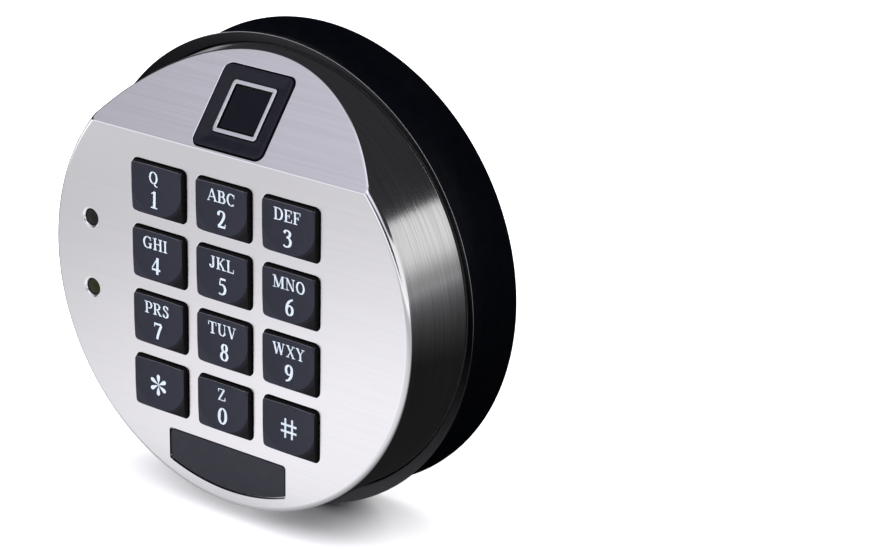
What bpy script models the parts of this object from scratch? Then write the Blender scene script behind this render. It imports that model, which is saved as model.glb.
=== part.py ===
"""Round electronic lock entry unit with a fingerprint reader.

Every piece is built lying on its back: x to the right, y up the face and z out of the door, in metres.
The panel empty then stands the unit upright, so that its face looks along -Y and +Z is up. The origin is
the middle of the rear face that rests on the door.
"""

import bpy
import bmesh
from math import cos, pi, radians, sin, sqrt, tan
from mathutils import Matrix, Vector

# Fits and build steps
GAP = 0.0003
OVERRUN = 0.0008
MERGE = 0.00001
CORNER_STEPS = 3
SOFT_CORNER = radians(150)
SMOOTH_ANGLE = radians(32)
FLAT_ANGLE = radians(0.2)
ROUND_SEGMENTS = 64
SMALL_SEGMENTS = 16
HOLE_SEGMENTS = 12

# Front housing
FACE_HEIGHT = 0.0309
FACE_RADIUS = 0.0472
SKIRT_FLARE = 0.0008
HOUSING_DEPTH = 0.0174
RIM_FILLET = 0.0014
HOUSING_WALL = 0.0020
FACET_REACH = 0.0175
FACET_TILT = radians(38.5)

# Key pad
KEY_COLUMNS = 3
KEY_ROWS = 4
KEY_PITCH_ACROSS_SHARE = 0.36970
KEY_PITCH_UP_SHARE = 0.22496
KEY_PAD_SHIFT = 0.00105
KEY_HOLE_WIDTH_SHARE = 0.30932
KEY_HOLE_HEIGHT_SHARE = 0.18253
KEY_HOLE_CORNER = 0.0012
KEY_PROUD = 0.0010
KEY_TRAVEL = 0.0010
KEY_DRAFT = 0.0002
KEY_DISH_SHARE = 0.47260
KEY_DISH_DEPTH = 0.0006
KEY_DISH_RISE = 0.0014
KEY_SHOULDER_RADIUS = 0.0550
KEY_FLANGE_LIP = 0.0008
KEY_FLANGE_THICKNESS = 0.0010
KEY_CROWN_WALL = 0.0013
KEY_SIDE_WALL = 0.0013
KEY_PLUNGER_RADIUS = 0.0018
KEY_NAMES = ("1", "2", "3", "4", "5", "6", "7", "8", "9", "star", "0", "hash")
DISH_RINGS = 2
SHOULDER_RINGS = 2
DISH_SEGMENTS = 28

# Switch mat
MAT_THICKNESS = 0.0010
MAT_MARGIN = 0.0012
MAT_CORNER = 0.0030
DOME_HEIGHT = 0.0012
DOME_RADIUS = 0.0042
DOME_TOP_RADIUS = 0.0022
DOME_WALL = 0.0007

# Main board
BOARD_THICKNESS = 0.0016
BOARD_MARGIN = 0.0042
BOARD_TOP_MARGIN = 0.0032
BOARD_POST_RADIUS = 0.0025
BOARD_POST_ACROSS_SHARE = 0.64619
BOARD_POST_UPPER_SHARE = 0.70707
BOARD_POST_LOWER_SHARE = 0.31780
SMALL_SCREW_RADIUS = 0.0010
SMALL_HEAD_RADIUS = 0.0019
SMALL_HEAD_HEIGHT = 0.0013
SMALL_SCREW_BITE = 0.0024
CHIP_SIZE = 0.0100
CHIP_HEIGHT = 0.0014
CHIP_ACROSS = 0.0170
CHIP_RISE = 0.0004
BUZZER_SHARE = 0.17750
BUZZER_HEIGHT = 0.0050
BUZZER_PORT_RADIUS = 0.0012
BUZZER_PORT_DEPTH = 0.0010
LOCK_SOCKET_WIDTH = 0.0110
LOCK_SOCKET_DEPTH = 0.0075
LOCK_SOCKET_HEIGHT = 0.0060
LOCK_SOCKET_WALL = 0.0010
LOCK_SOCKET_ACROSS = 0.0180
LOCK_SOCKET_DROP = 0.0006
FLEX_SOCKET_WIDTH = 0.0110
FLEX_SOCKET_DEPTH = 0.0034
FLEX_SOCKET_HEIGHT = 0.0025
FLEX_SOCKET_SETBACK = 0.0005

# Lamps
LAMP_RADIUS = 0.0015
LAMP_FLANGE_RADIUS = 0.0019
LAMP_FLANGE_HEIGHT = 0.0008
LAMP_RECESS = 0.0010
LAMP_MARGIN = 0.0103
LAMP_SPACING = 0.0156
LAMP_SINK_RADIUS = 0.0022
LAMP_SINK_DEPTH = 0.0004
LAMP_DOME_STEPS = 4

# Inlay
INLAY_HALF_WIDTH = 0.0155
INLAY_TOP_MARGIN = 0.0128
INLAY_ARC_MARGIN = 0.00335
INLAY_CORNER = 0.0008
INLAY_THICKNESS = 0.0005
INLAY_RECESS = 0.0002
INLAY_ARC_STEPS = 10

# Fingerprint reader
BEZEL_WIDTH = 0.0171
BEZEL_HEIGHT = 0.0181
BEZEL_CORNER = 0.0016
BEZEL_OFFSET = 0.0008
BEZEL_PROUD = 0.0003
BEZEL_RIM = 0.0008
BEZEL_DISH_DEPTH = 0.0007
BEZEL_DISH_MARGIN = 0.0006
BEZEL_FLANGE_LIP = 0.0010
BEZEL_FLANGE_TOP_LIP = 0.0015
BEZEL_FLANGE_THICKNESS = 0.0012
BEZEL_WINDOW_WALL = 0.0011
SENSOR_FRAME_WIDTH = 0.0109
SENSOR_FRAME_HEIGHT = 0.0117
SENSOR_FRAME_CORNER = 0.0007
SENSOR_FRAME_BAND = 0.0009
SENSOR_RISE = 0.0003
SENSOR_PAD_SINK = 0.00025
SENSOR_PAD_CORNER = 0.0003
SENSOR_BOARD_WIDTH = 0.0140
SENSOR_BOARD_HEIGHT = 0.0150
SENSOR_BOARD_THICKNESS = 0.0010
CLAMP_POST_RADIUS = 0.0024
CLAMP_POST_ACROSS = 0.0125
CLAMP_THICKNESS = 0.0010
CLAMP_HEIGHT = 0.0090
CLAMP_CORNER = 0.0020
FLEX_WIDTH = 0.0080
FLEX_THICKNESS = 0.0003
FLEX_EXIT = 0.0044
FLEX_LEAD = 0.0012
FLEX_DIP = 0.0004
FLEX_STAND_OFF = 0.0019
FLEX_BEND = 0.0011
FLEX_STEPS = 4

# Base ring and seal
RING_CLEARANCE = 0.0004
RING_LIP = 0.0005
SHOULDER_WIDTH = 0.0021
SHOULDER_FALL = 0.0004
RING_EDGE_ROUND = 0.0003
REAR_RIM_STEP = 0.0004
REAR_RIM_HEIGHT = 0.0008
REAR_CHAMFER = 0.0003
WAIST_DEPTH = 0.0018
WAIST_STEPS = 6
SPIGOT_RISE = 0.0044
SPIGOT_WALL = 0.0018
SPIGOT_PLAY = 0.0007
SEAL_THICKNESS = 0.0008
BASE_WALL_STEP = 0.0018
SHELF_THICKNESS = 0.0015
READER_NOTCH_WIDTH = 0.0290
READER_NOTCH_RISE = 0.0008

# Back plate, battery bay and cable entry
PLATE_THICKNESS = 0.0018
PLATE_STEP = 0.0005
SCREW_POST_RADIUS = 0.0028
SCREW_POST_FOOT = 0.0080
SCREW_CIRCLE_MARGIN = 0.0070
SCREW_POST_UPPER_ANGLE = radians(22.7)
SCREW_POST_MARGIN = 0.00025
BOSS_RADIUS = 0.0035
SCREW_RADIUS = 0.0015
SCREW_HEAD_RADIUS = 0.0027
SCREW_HEAD_HEIGHT = 0.0017
SCREW_HEAD_SINK = 0.0006
SCREW_BITE = 0.0080
MOUNT_HOLE_RADIUS = 0.00225
MOUNT_HOLE_ACROSS = 0.02065
CABLE_HOLE_RADIUS = 0.0050
CABLE_HOLE_RISE = 0.0153
GROMMET_BORE_RADIUS = 0.0035
GROMMET_FLANGE_RADIUS = 0.0063
GROMMET_FLANGE_THICKNESS = 0.0012
GROMMET_HEIGHT = 0.0040
GROMMET_BACK_SINK = 0.0002
BATTERY_LENGTH = 0.0465
BATTERY_WIDTH = 0.0260
BATTERY_CORNER = 0.0020
BATTERY_ACROSS = 0.0010
BAY_CORNER_MARGIN = 0.00188
TERMINAL_RADIUS = 0.0029
TERMINAL_HEIGHT = 0.0019
TERMINAL_SPACING = 0.0127
CLIP_THICKNESS = 0.0034
CLIP_WIDTH = 0.0240
CLIP_INSET = 0.0025
CLIP_CORNER = 0.0012
BAY_WALL = 0.0012
BAY_WALL_CLEARANCE = 0.0030
PAD_LENGTH = 0.0240
PAD_WIDTH = 0.0200
PAD_THICKNESS = 0.0037
LEAD_RADIUS = 0.0006
LEAD_SPACING = 0.0016
LEAD_BEND = 0.0014
LEAD_END_RISE = 0.0051
LEAD_START = 0.0005
LEAD_ROUNDING_STEPS = 2
LEAD_BEND_STEPS = 4

# Heights and places that follow from the sizes above
SKIRT_RADIUS = FACE_RADIUS + SKIRT_FLARE
FACET_CREASE = FACE_RADIUS - FACET_REACH
INLAY_TOP_DROP = FACE_RADIUS - INLAY_TOP_MARGIN
INLAY_ARC_RADIUS = FACE_RADIUS - INLAY_ARC_MARGIN
KEY_PAD_ROOM = FACET_CREASE + INLAY_TOP_DROP
KEY_PAD_DROP = (INLAY_TOP_DROP - FACET_CREASE) / 2 + KEY_PAD_SHIFT
KEY_PITCH_ACROSS = FACE_RADIUS * KEY_PITCH_ACROSS_SHARE
KEY_PITCH_UP = KEY_PAD_ROOM * KEY_PITCH_UP_SHARE
KEY_HOLE_WIDTH = FACE_RADIUS * KEY_HOLE_WIDTH_SHARE
KEY_HOLE_HEIGHT = KEY_PAD_ROOM * KEY_HOLE_HEIGHT_SHARE
KEY_DISH_RADIUS = KEY_HOLE_WIDTH * KEY_DISH_SHARE
LAMP_ACROSS = FACE_RADIUS - LAMP_MARGIN
BOARD_RADIUS = FACE_RADIUS - BOARD_MARGIN
BOARD_TOP_EDGE = FACET_CREASE - BOARD_TOP_MARGIN
BOARD_POST_ACROSS = FACE_RADIUS * BOARD_POST_ACROSS_SHARE
BOARD_POST_UPPER = FACET_CREASE * BOARD_POST_UPPER_SHARE
BOARD_POST_LOWER = FACE_RADIUS * BOARD_POST_LOWER_SHARE
SKIRT_HEIGHT = FACE_HEIGHT - HOUSING_DEPTH
CEILING = FACE_HEIGHT - HOUSING_WALL
KEY_FLANGE_TOP = CEILING - GAP
KEY_FLANGE_FOOT = KEY_FLANGE_TOP - KEY_FLANGE_THICKNESS
KEY_WIDTH = KEY_HOLE_WIDTH - 2 * GAP
KEY_HEIGHT = KEY_HOLE_HEIGHT - 2 * GAP
KEY_CORNER = KEY_HOLE_CORNER - GAP
KEY_FLANGE_WIDTH = KEY_HOLE_WIDTH + 2 * KEY_FLANGE_LIP
KEY_FLANGE_HEIGHT = KEY_HOLE_HEIGHT + 2 * KEY_FLANGE_LIP
KEY_RIM_TOP = FACE_HEIGHT + KEY_PROUD
KEY_DISH_FLOOR = KEY_RIM_TOP - KEY_DISH_DEPTH
KEY_POCKET_TOP = KEY_DISH_FLOOR - KEY_CROWN_WALL
MAT_TOP = KEY_FLANGE_FOOT - KEY_TRAVEL - GAP
MAT_FOOT = MAT_TOP - MAT_THICKNESS
DOME_TOP = MAT_TOP + DOME_HEIGHT
KEY_PLUNGER_FOOT = DOME_TOP + KEY_TRAVEL + GAP
BOARD_TOP = MAT_FOOT - GAP
BOARD_FOOT = BOARD_TOP - BOARD_THICKNESS
COMPONENT_TOP = BOARD_FOOT - GAP
BOARD_POST_FOOT = BOARD_TOP + GAP
BEZEL_MIDDLE = BEZEL_OFFSET + BEZEL_HEIGHT / 2
BEZEL_FLANGE_TOP = -HOUSING_WALL - GAP
BEZEL_FLANGE_FOOT = BEZEL_FLANGE_TOP - BEZEL_FLANGE_THICKNESS
BEZEL_DISH_FLOOR = BEZEL_PROUD - BEZEL_DISH_DEPTH
BEZEL_POCKET_TOP = BEZEL_DISH_FLOOR - BEZEL_WINDOW_WALL
SENSOR_MIDDLE = BEZEL_MIDDLE + SENSOR_RISE
SENSOR_BOARD_TOP = BEZEL_POCKET_TOP - GAP
SENSOR_FOOT = SENSOR_BOARD_TOP + GAP
SENSOR_BOARD_FOOT = SENSOR_BOARD_TOP - SENSOR_BOARD_THICKNESS
CLAMP_TOP = BEZEL_FLANGE_FOOT - GAP
CLAMP_FOOT = CLAMP_TOP - CLAMP_THICKNESS
RING_INNER_RADIUS = SKIRT_RADIUS + RING_CLEARANCE
RING_INNER_HEIGHT = SKIRT_HEIGHT + RING_LIP
RING_EDGE_RADIUS = RING_INNER_RADIUS + SHOULDER_WIDTH
RING_EDGE_HEIGHT = RING_INNER_HEIGHT - SHOULDER_FALL
REAR_RIM_RADIUS = RING_EDGE_RADIUS + REAR_RIM_STEP
BASE_WALL_RADIUS = SKIRT_RADIUS - BASE_WALL_STEP
PLATE_RADIUS = SKIRT_RADIUS - PLATE_STEP
SPIGOT_RADIUS = SKIRT_RADIUS - HOUSING_WALL - SPIGOT_PLAY
SPIGOT_TOP = SKIRT_HEIGHT + SPIGOT_RISE
READER_NOTCH_FLOOR = SKIRT_HEIGHT + READER_NOTCH_RISE
SEAL_TOP = SKIRT_HEIGHT - GAP
SEAL_FOOT = SEAL_TOP - SEAL_THICKNESS
GROOVE_FLOOR = SEAL_FOOT - GAP
SHELF_FOOT = GROOVE_FLOOR - SHELF_THICKNESS
BAY_WALL_HEIGHT = SHELF_FOOT - BAY_WALL_CLEARANCE
PLATE_SEAT = PLATE_THICKNESS + GAP
BOSS_TOP = SCREW_POST_FOOT - GAP
SCREW_HOLE_RADIUS = SCREW_RADIUS + GAP
SMALL_HOLE_RADIUS = SMALL_SCREW_RADIUS + GAP
SCREW_HEAD_TOP = SCREW_HEAD_SINK + SCREW_HEAD_HEIGHT
COUNTERBORE_TOP = SCREW_HEAD_TOP + GAP
SCREW_TIP = SCREW_POST_FOOT + SCREW_BITE
BATTERY_FOOT = PLATE_THICKNESS + GAP
BATTERY_TOP = COMPONENT_TOP - PAD_THICKNESS - GAP
BATTERY_DEPTH = BATTERY_TOP - BATTERY_FOOT
CLIP_HEIGHT = BATTERY_DEPTH - 2 * CLIP_INSET
BATTERY_END = -BATTERY_ACROSS + BATTERY_LENGTH / 2
CLIP_START = BATTERY_END + GAP
CLIP_END = CLIP_START + CLIP_THICKNESS
BAY_LEFT = -BATTERY_ACROSS - BATTERY_LENGTH / 2 - GAP
BAY_RIGHT = CLIP_END + GAP
BATTERY_MIDDLE_HEIGHT = BATTERY_FOOT + BATTERY_DEPTH / 2
BAY_CORNER = BAY_RIGHT + BAY_WALL
BAY_HALF_WIDTH = BATTERY_WIDTH / 2 + GAP + BAY_WALL
BATTERY_DROP = sqrt((BASE_WALL_RADIUS - BAY_CORNER_MARGIN) ** 2 - BAY_CORNER**2) - BAY_HALF_WIDTH
BATTERY_UPPER_EDGE = BATTERY_WIDTH / 2 - BATTERY_DROP
CABLE_HOLE_UP = BATTERY_UPPER_EDGE + CABLE_HOLE_RISE
COMPONENT_MIDDLE = (BATTERY_UPPER_EDGE + BOARD_TOP_EDGE) / 2
CHIP_UP = COMPONENT_MIDDLE + CHIP_RISE
LOCK_SOCKET_UP = COMPONENT_MIDDLE - LOCK_SOCKET_DROP
BUZZER_RADIUS = (BOARD_TOP_EDGE - BATTERY_UPPER_EDGE) * BUZZER_SHARE
SCREW_CIRCLE = FACE_RADIUS - SCREW_CIRCLE_MARGIN
SCREW_POST_UPPER_ACROSS = SCREW_CIRCLE * cos(SCREW_POST_UPPER_ANGLE)
SCREW_POST_UPPER_UP = SCREW_CIRCLE * sin(SCREW_POST_UPPER_ANGLE)
SCREW_POST_LOWER_ACROSS = BAY_CORNER + BOSS_RADIUS + SCREW_POST_MARGIN
SCREW_POST_LOWER_DROP = sqrt(SCREW_CIRCLE**2 - SCREW_POST_LOWER_ACROSS**2)
LAMP_FOOT = BOARD_TOP + GAP
LAMP_TOP = FACE_HEIGHT - LAMP_RECESS

SCREW_PLACES = (
    (-SCREW_POST_UPPER_ACROSS, SCREW_POST_UPPER_UP),
    (SCREW_POST_UPPER_ACROSS, SCREW_POST_UPPER_UP),
    (-SCREW_POST_LOWER_ACROSS, -SCREW_POST_LOWER_DROP),
    (SCREW_POST_LOWER_ACROSS, -SCREW_POST_LOWER_DROP),
)
BOARD_SCREW_PLACES = (
    (-BOARD_POST_ACROSS, BOARD_POST_UPPER),
    (BOARD_POST_ACROSS, BOARD_POST_UPPER),
    (-BOARD_POST_ACROSS, -BOARD_POST_LOWER),
    (BOARD_POST_ACROSS, -BOARD_POST_LOWER),
)
CLAMP_SCREW_PLACES = (
    (-CLAMP_POST_ACROSS, BEZEL_MIDDLE),
    (CLAMP_POST_ACROSS, BEZEL_MIDDLE),
)
LAMP_PLACES = (
    (-LAMP_ACROSS, LAMP_SPACING / 2),
    (-LAMP_ACROSS, -LAMP_SPACING / 2),
)


def clear_scene():
    for obj in list(bpy.data.objects):
        bpy.data.objects.remove(obj, do_unlink=True)


def new_collection(name):
    collection = bpy.data.collections.new(name)
    bpy.context.scene.collection.children.link(collection)
    return collection


def material(name, colour, roughness, metallic=0.0):
    made = bpy.data.materials.new(name)
    made.use_nodes = True
    shader = made.node_tree.nodes["Principled BSDF"]
    shader.inputs["Base Color"].default_value = (*colour, 1.0)
    shader.inputs["Roughness"].default_value = roughness
    shader.inputs["Metallic"].default_value = metallic
    return made


def brushed_metal():
    return material("brushed_metal", (0.62, 0.61, 0.63), 0.34, 1.0)


def silver_trim():
    return material("silver_trim", (0.72, 0.72, 0.74), 0.25, 1.0)


def steel_screw():
    return material("steel_screw", (0.50, 0.50, 0.50), 0.30, 1.0)


def black_abs():
    return material("black_abs", (0.006, 0.006, 0.008), 0.28)


def key_rubber():
    return material("key_rubber", (0.022, 0.023, 0.032), 0.45)


def bezel_black():
    return material("bezel_black", (0.012, 0.012, 0.017), 0.40)


def inlay_black():
    return material("inlay_black", (0.030, 0.030, 0.036), 0.55)


def sensor_coating():
    return material("sensor_coating", (0.008, 0.008, 0.012), 0.22)


def seal_rubber():
    return material("seal_rubber", (0.010, 0.010, 0.010), 0.80)


def silicone():
    return material("silicone", (0.30, 0.31, 0.32), 0.60)


def board_green():
    return material("board_green", (0.015, 0.10, 0.045), 0.45)


def chip_black():
    return material("chip_black", (0.015, 0.015, 0.015), 0.50)


def socket_white():
    return material("socket_white", (0.72, 0.70, 0.64), 0.50)


def lamp_clear(name, colour):
    return material(name, colour, 0.12)


def battery_wrap():
    return material("battery_wrap", (0.10, 0.10, 0.11), 0.35)


def foam():
    return material("foam", (0.06, 0.06, 0.065), 0.95)


def wire_sleeve(name, colour):
    return material(name, colour, 0.40)


def flex_film():
    return material("flex_film", (0.36, 0.17, 0.03), 0.40)


def closed_mesh(obj):
    """The mesh that an object's curve or modifiers give, welded and facing out."""
    bpy.context.view_layer.update()
    evaluated = obj.evaluated_get(bpy.context.evaluated_depsgraph_get())
    mesh = bpy.data.meshes.new_from_object(evaluated)
    bm = bmesh.new()
    bm.from_mesh(mesh)
    bmesh.ops.remove_doubles(bm, verts=bm.verts, dist=MERGE)
    bmesh.ops.dissolve_degenerate(bm, edges=bm.edges, dist=MERGE)
    bmesh.ops.dissolve_limit(bm, angle_limit=FLAT_ANGLE, verts=bm.verts, edges=bm.edges)
    bmesh.ops.recalc_face_normals(bm, faces=bm.faces)
    bm.to_mesh(mesh)
    bm.free()
    return mesh


def settle(obj):
    """Turns what the modifiers give into the object's own mesh."""
    mesh = closed_mesh(obj)
    old = obj.data
    obj.modifiers.clear()
    obj.data = mesh
    mesh.name = obj.name
    bpy.data.meshes.remove(old)


def placed(obj, collection, frame, place=(0.0, 0.0)):
    collection.objects.link(obj)
    obj.parent = frame
    obj.location = (place[0], place[1], 0.0)
    return obj


def as_cutter(obj):
    obj.hide_render = True
    obj.display_type = "WIRE"
    return obj


def finished(obj, surface):
    """Gives a piece its material and its shading."""
    obj.data.materials.clear()
    obj.data.materials.append(surface)
    obj.data.shade_smooth()
    obj.data.set_sharp_from_angle(angle=SMOOTH_ANGLE)
    return obj


def combined(obj, other, operation):
    change = obj.modifiers.new(other.name, "BOOLEAN")
    change.operation = operation
    change.solver = "EXACT"
    change.object = other
    settle(obj)


def cut(obj, other):
    combined(obj, other, "DIFFERENCE")


def joined(obj, other):
    combined(obj, other, "UNION")


def kept_inside(obj, other):
    combined(obj, other, "INTERSECT")


def patterned(obj, places):
    """Repeats a cutter's or a post's mesh at each place, as one object."""
    bm = bmesh.new()
    for place in places:
        copy = obj.data.copy()
        copy.transform(Matrix.Translation((place[0], place[1], 0.0)))
        bm.from_mesh(copy)
        bpy.data.meshes.remove(copy)
    bm.to_mesh(obj.data)
    bm.free()
    return obj


def arc(centre, radius, start, end, steps):
    """Points of a profile's arc, from start to end in radians."""
    points = []
    for step in range(steps + 1):
        angle = start + (end - start) * step / steps
        points.append((centre[0] + radius * cos(angle), centre[1] + radius * sin(angle)))
    return points


def rectangle(width, height):
    return [
        (-width / 2, -height / 2),
        (width / 2, -height / 2),
        (width / 2, height / 2),
        (-width / 2, height / 2),
    ]


def rounded_outline(corners, radius):
    """An outline whose real corners are turned into arcs."""
    points = []
    for index, corner in enumerate(corners):
        here = Vector(corner)
        before = (Vector(corners[index - 1]) - here).normalized()
        after = (Vector(corners[(index + 1) % len(corners)]) - here).normalized()
        opening = before.angle(after)
        if opening > SOFT_CORNER:
            points.append(corner)
            continue
        reach = radius / tan(opening / 2)
        centre = here + (before + after).normalized() * radius / sin(opening / 2)
        for step in range(CORNER_STEPS + 1):
            along = (here + before * reach).lerp(here + after * reach, step / CORNER_STEPS)
            points.append(tuple(centre + (along - centre).normalized() * radius))
    return points


def rounded_rectangle(width, height, radius):
    return rounded_outline(rectangle(width, height), radius)


def meshed_curve(name, curve, collection, frame):
    """Replaces a curve by an object that has its mesh."""
    source = bpy.data.objects.new(name, curve)
    collection.objects.link(source)
    mesh = closed_mesh(source)
    bpy.data.objects.remove(source, do_unlink=True)
    bpy.data.curves.remove(curve)
    return placed(bpy.data.objects.new(name, mesh), collection, frame)


def plate(name, outline, low, high, collection, frame, place=(0.0, 0.0)):
    """A flat outline given its thickness, between two heights."""
    curve = bpy.data.curves.new(name, "CURVE")
    curve.dimensions = "2D"
    curve.fill_mode = "BOTH"
    curve.extrude = (high - low) / 2
    spline = curve.splines.new("POLY")
    spline.points.add(len(outline) - 1)
    for point, corner in zip(spline.points, outline):
        point.co = (corner[0], corner[1], 0.0, 1.0)
    spline.use_cyclic_u = True
    obj = meshed_curve(name, curve, collection, frame)
    obj.data.transform(Matrix.Translation((0.0, 0.0, (low + high) / 2)))
    obj.location = (place[0], place[1], 0.0)
    return obj


def tapered(name, outline, low, high, high_scale, collection, frame, place=(0.0, 0.0)):
    """A block with drafted sides: its outline is scaled on the way up."""
    bm = bmesh.new()
    foot = bm.faces.new([bm.verts.new((x, y, low)) for x, y in outline])
    raised = bmesh.ops.extrude_face_region(bm, geom=[foot])
    top = [item for item in raised["geom"] if isinstance(item, bmesh.types.BMVert)]
    for corner in top:
        corner.co = (corner.co.x * high_scale[0], corner.co.y * high_scale[1], high)
    bmesh.ops.recalc_face_normals(bm, faces=bm.faces)
    mesh = bpy.data.meshes.new(name)
    bm.to_mesh(mesh)
    bm.free()
    return placed(bpy.data.objects.new(name, mesh), collection, frame, place)


def turned(name, profile, segments, collection, frame, place=(0.0, 0.0), ring=False):
    """A profile of radius and height, turned about the piece's own upright axis."""
    mesh = bpy.data.meshes.new(name)
    edges = [(index, index + 1) for index in range(len(profile) - 1)]
    if ring:
        edges.append((len(profile) - 1, 0))
    mesh.from_pydata([(radius, 0.0, height) for radius, height in profile], edges, [])
    obj = placed(bpy.data.objects.new(name, mesh), collection, frame, place)
    screw = obj.modifiers.new("turn", "SCREW")
    screw.axis = "Z"
    screw.angle = 2 * pi
    screw.steps = segments
    screw.render_steps = segments
    screw.use_merge_vertices = True
    screw.merge_threshold = MERGE
    settle(obj)
    return obj


def cylinder_profile(radius, low, high):
    return [(0.0, high), (radius, high), (radius, low), (0.0, low)]


def screw_profile(shank, head, seat, head_height, tip):
    """A screw that points up from its seat, with the edge of its head rounded."""
    shoulder = head_height / 2
    rounding = arc((head - shoulder, seat - shoulder), shoulder, 0.0, -pi / 2, CORNER_STEPS)
    return [(0.0, tip), (shank, tip), (shank, seat), (head, seat)] + rounding + [(0.0, seat - head_height)]


def rounded_tube(name, route, radius, collection, frame):
    """A wire along a route, with closed ends."""
    curve = bpy.data.curves.new(name, "CURVE")
    curve.dimensions = "3D"
    curve.bevel_depth = radius
    curve.bevel_resolution = LEAD_ROUNDING_STEPS
    curve.use_fill_caps = True
    spline = curve.splines.new("POLY")
    spline.points.add(len(route) - 1)
    for point, spot in zip(spline.points, route):
        point.co = (*spot, 1.0)
    return meshed_curve(name, curve, collection, frame)


def smooth_route(points, steps):
    """Reads points off a smooth curve that passes through the given ones."""
    spots = [Vector(point) for point in points]
    ends = [spots[0] * 2 - spots[1]] + spots + [spots[-1] * 2 - spots[-2]]
    route = []
    for index in range(1, len(ends) - 2):
        before, start, end, after = ends[index - 1 : index + 3]
        for step in range(steps):
            share = step / steps
            bend = (before * -1 + start * 3 - end * 3 + after) * share**3
            lean = (before * 2 - start * 5 + end * 4 - after) * share**2
            run = (end - before) * share
            route.append(start + (bend + lean + run) / 2)
    route.append(spots[-1])
    return route


def reader_point(up, out):
    """A spot of the reader's facet as height up the face and height off the door."""
    across_face = FACET_CREASE + up * cos(FACET_TILT) + out * sin(FACET_TILT)
    off_door = FACE_HEIGHT - up * sin(FACET_TILT) + out * cos(FACET_TILT)
    return across_face, off_door


def key_places():
    places = []
    for row in range(KEY_ROWS):
        for column in range(KEY_COLUMNS):
            across = (column - (KEY_COLUMNS - 1) / 2) * KEY_PITCH_ACROSS
            up = ((KEY_ROWS - 1) / 2 - row) * KEY_PITCH_UP - KEY_PAD_DROP
            places.append((across, up))
    return places


def facet_block(name, height, cutters, reader):
    """Everything in front of a plane that lies parallel to the facet."""
    size = 4 * SKIRT_RADIUS
    return as_cutter(plate(name, rectangle(size, size), height, height + size, cutters, reader))


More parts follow.
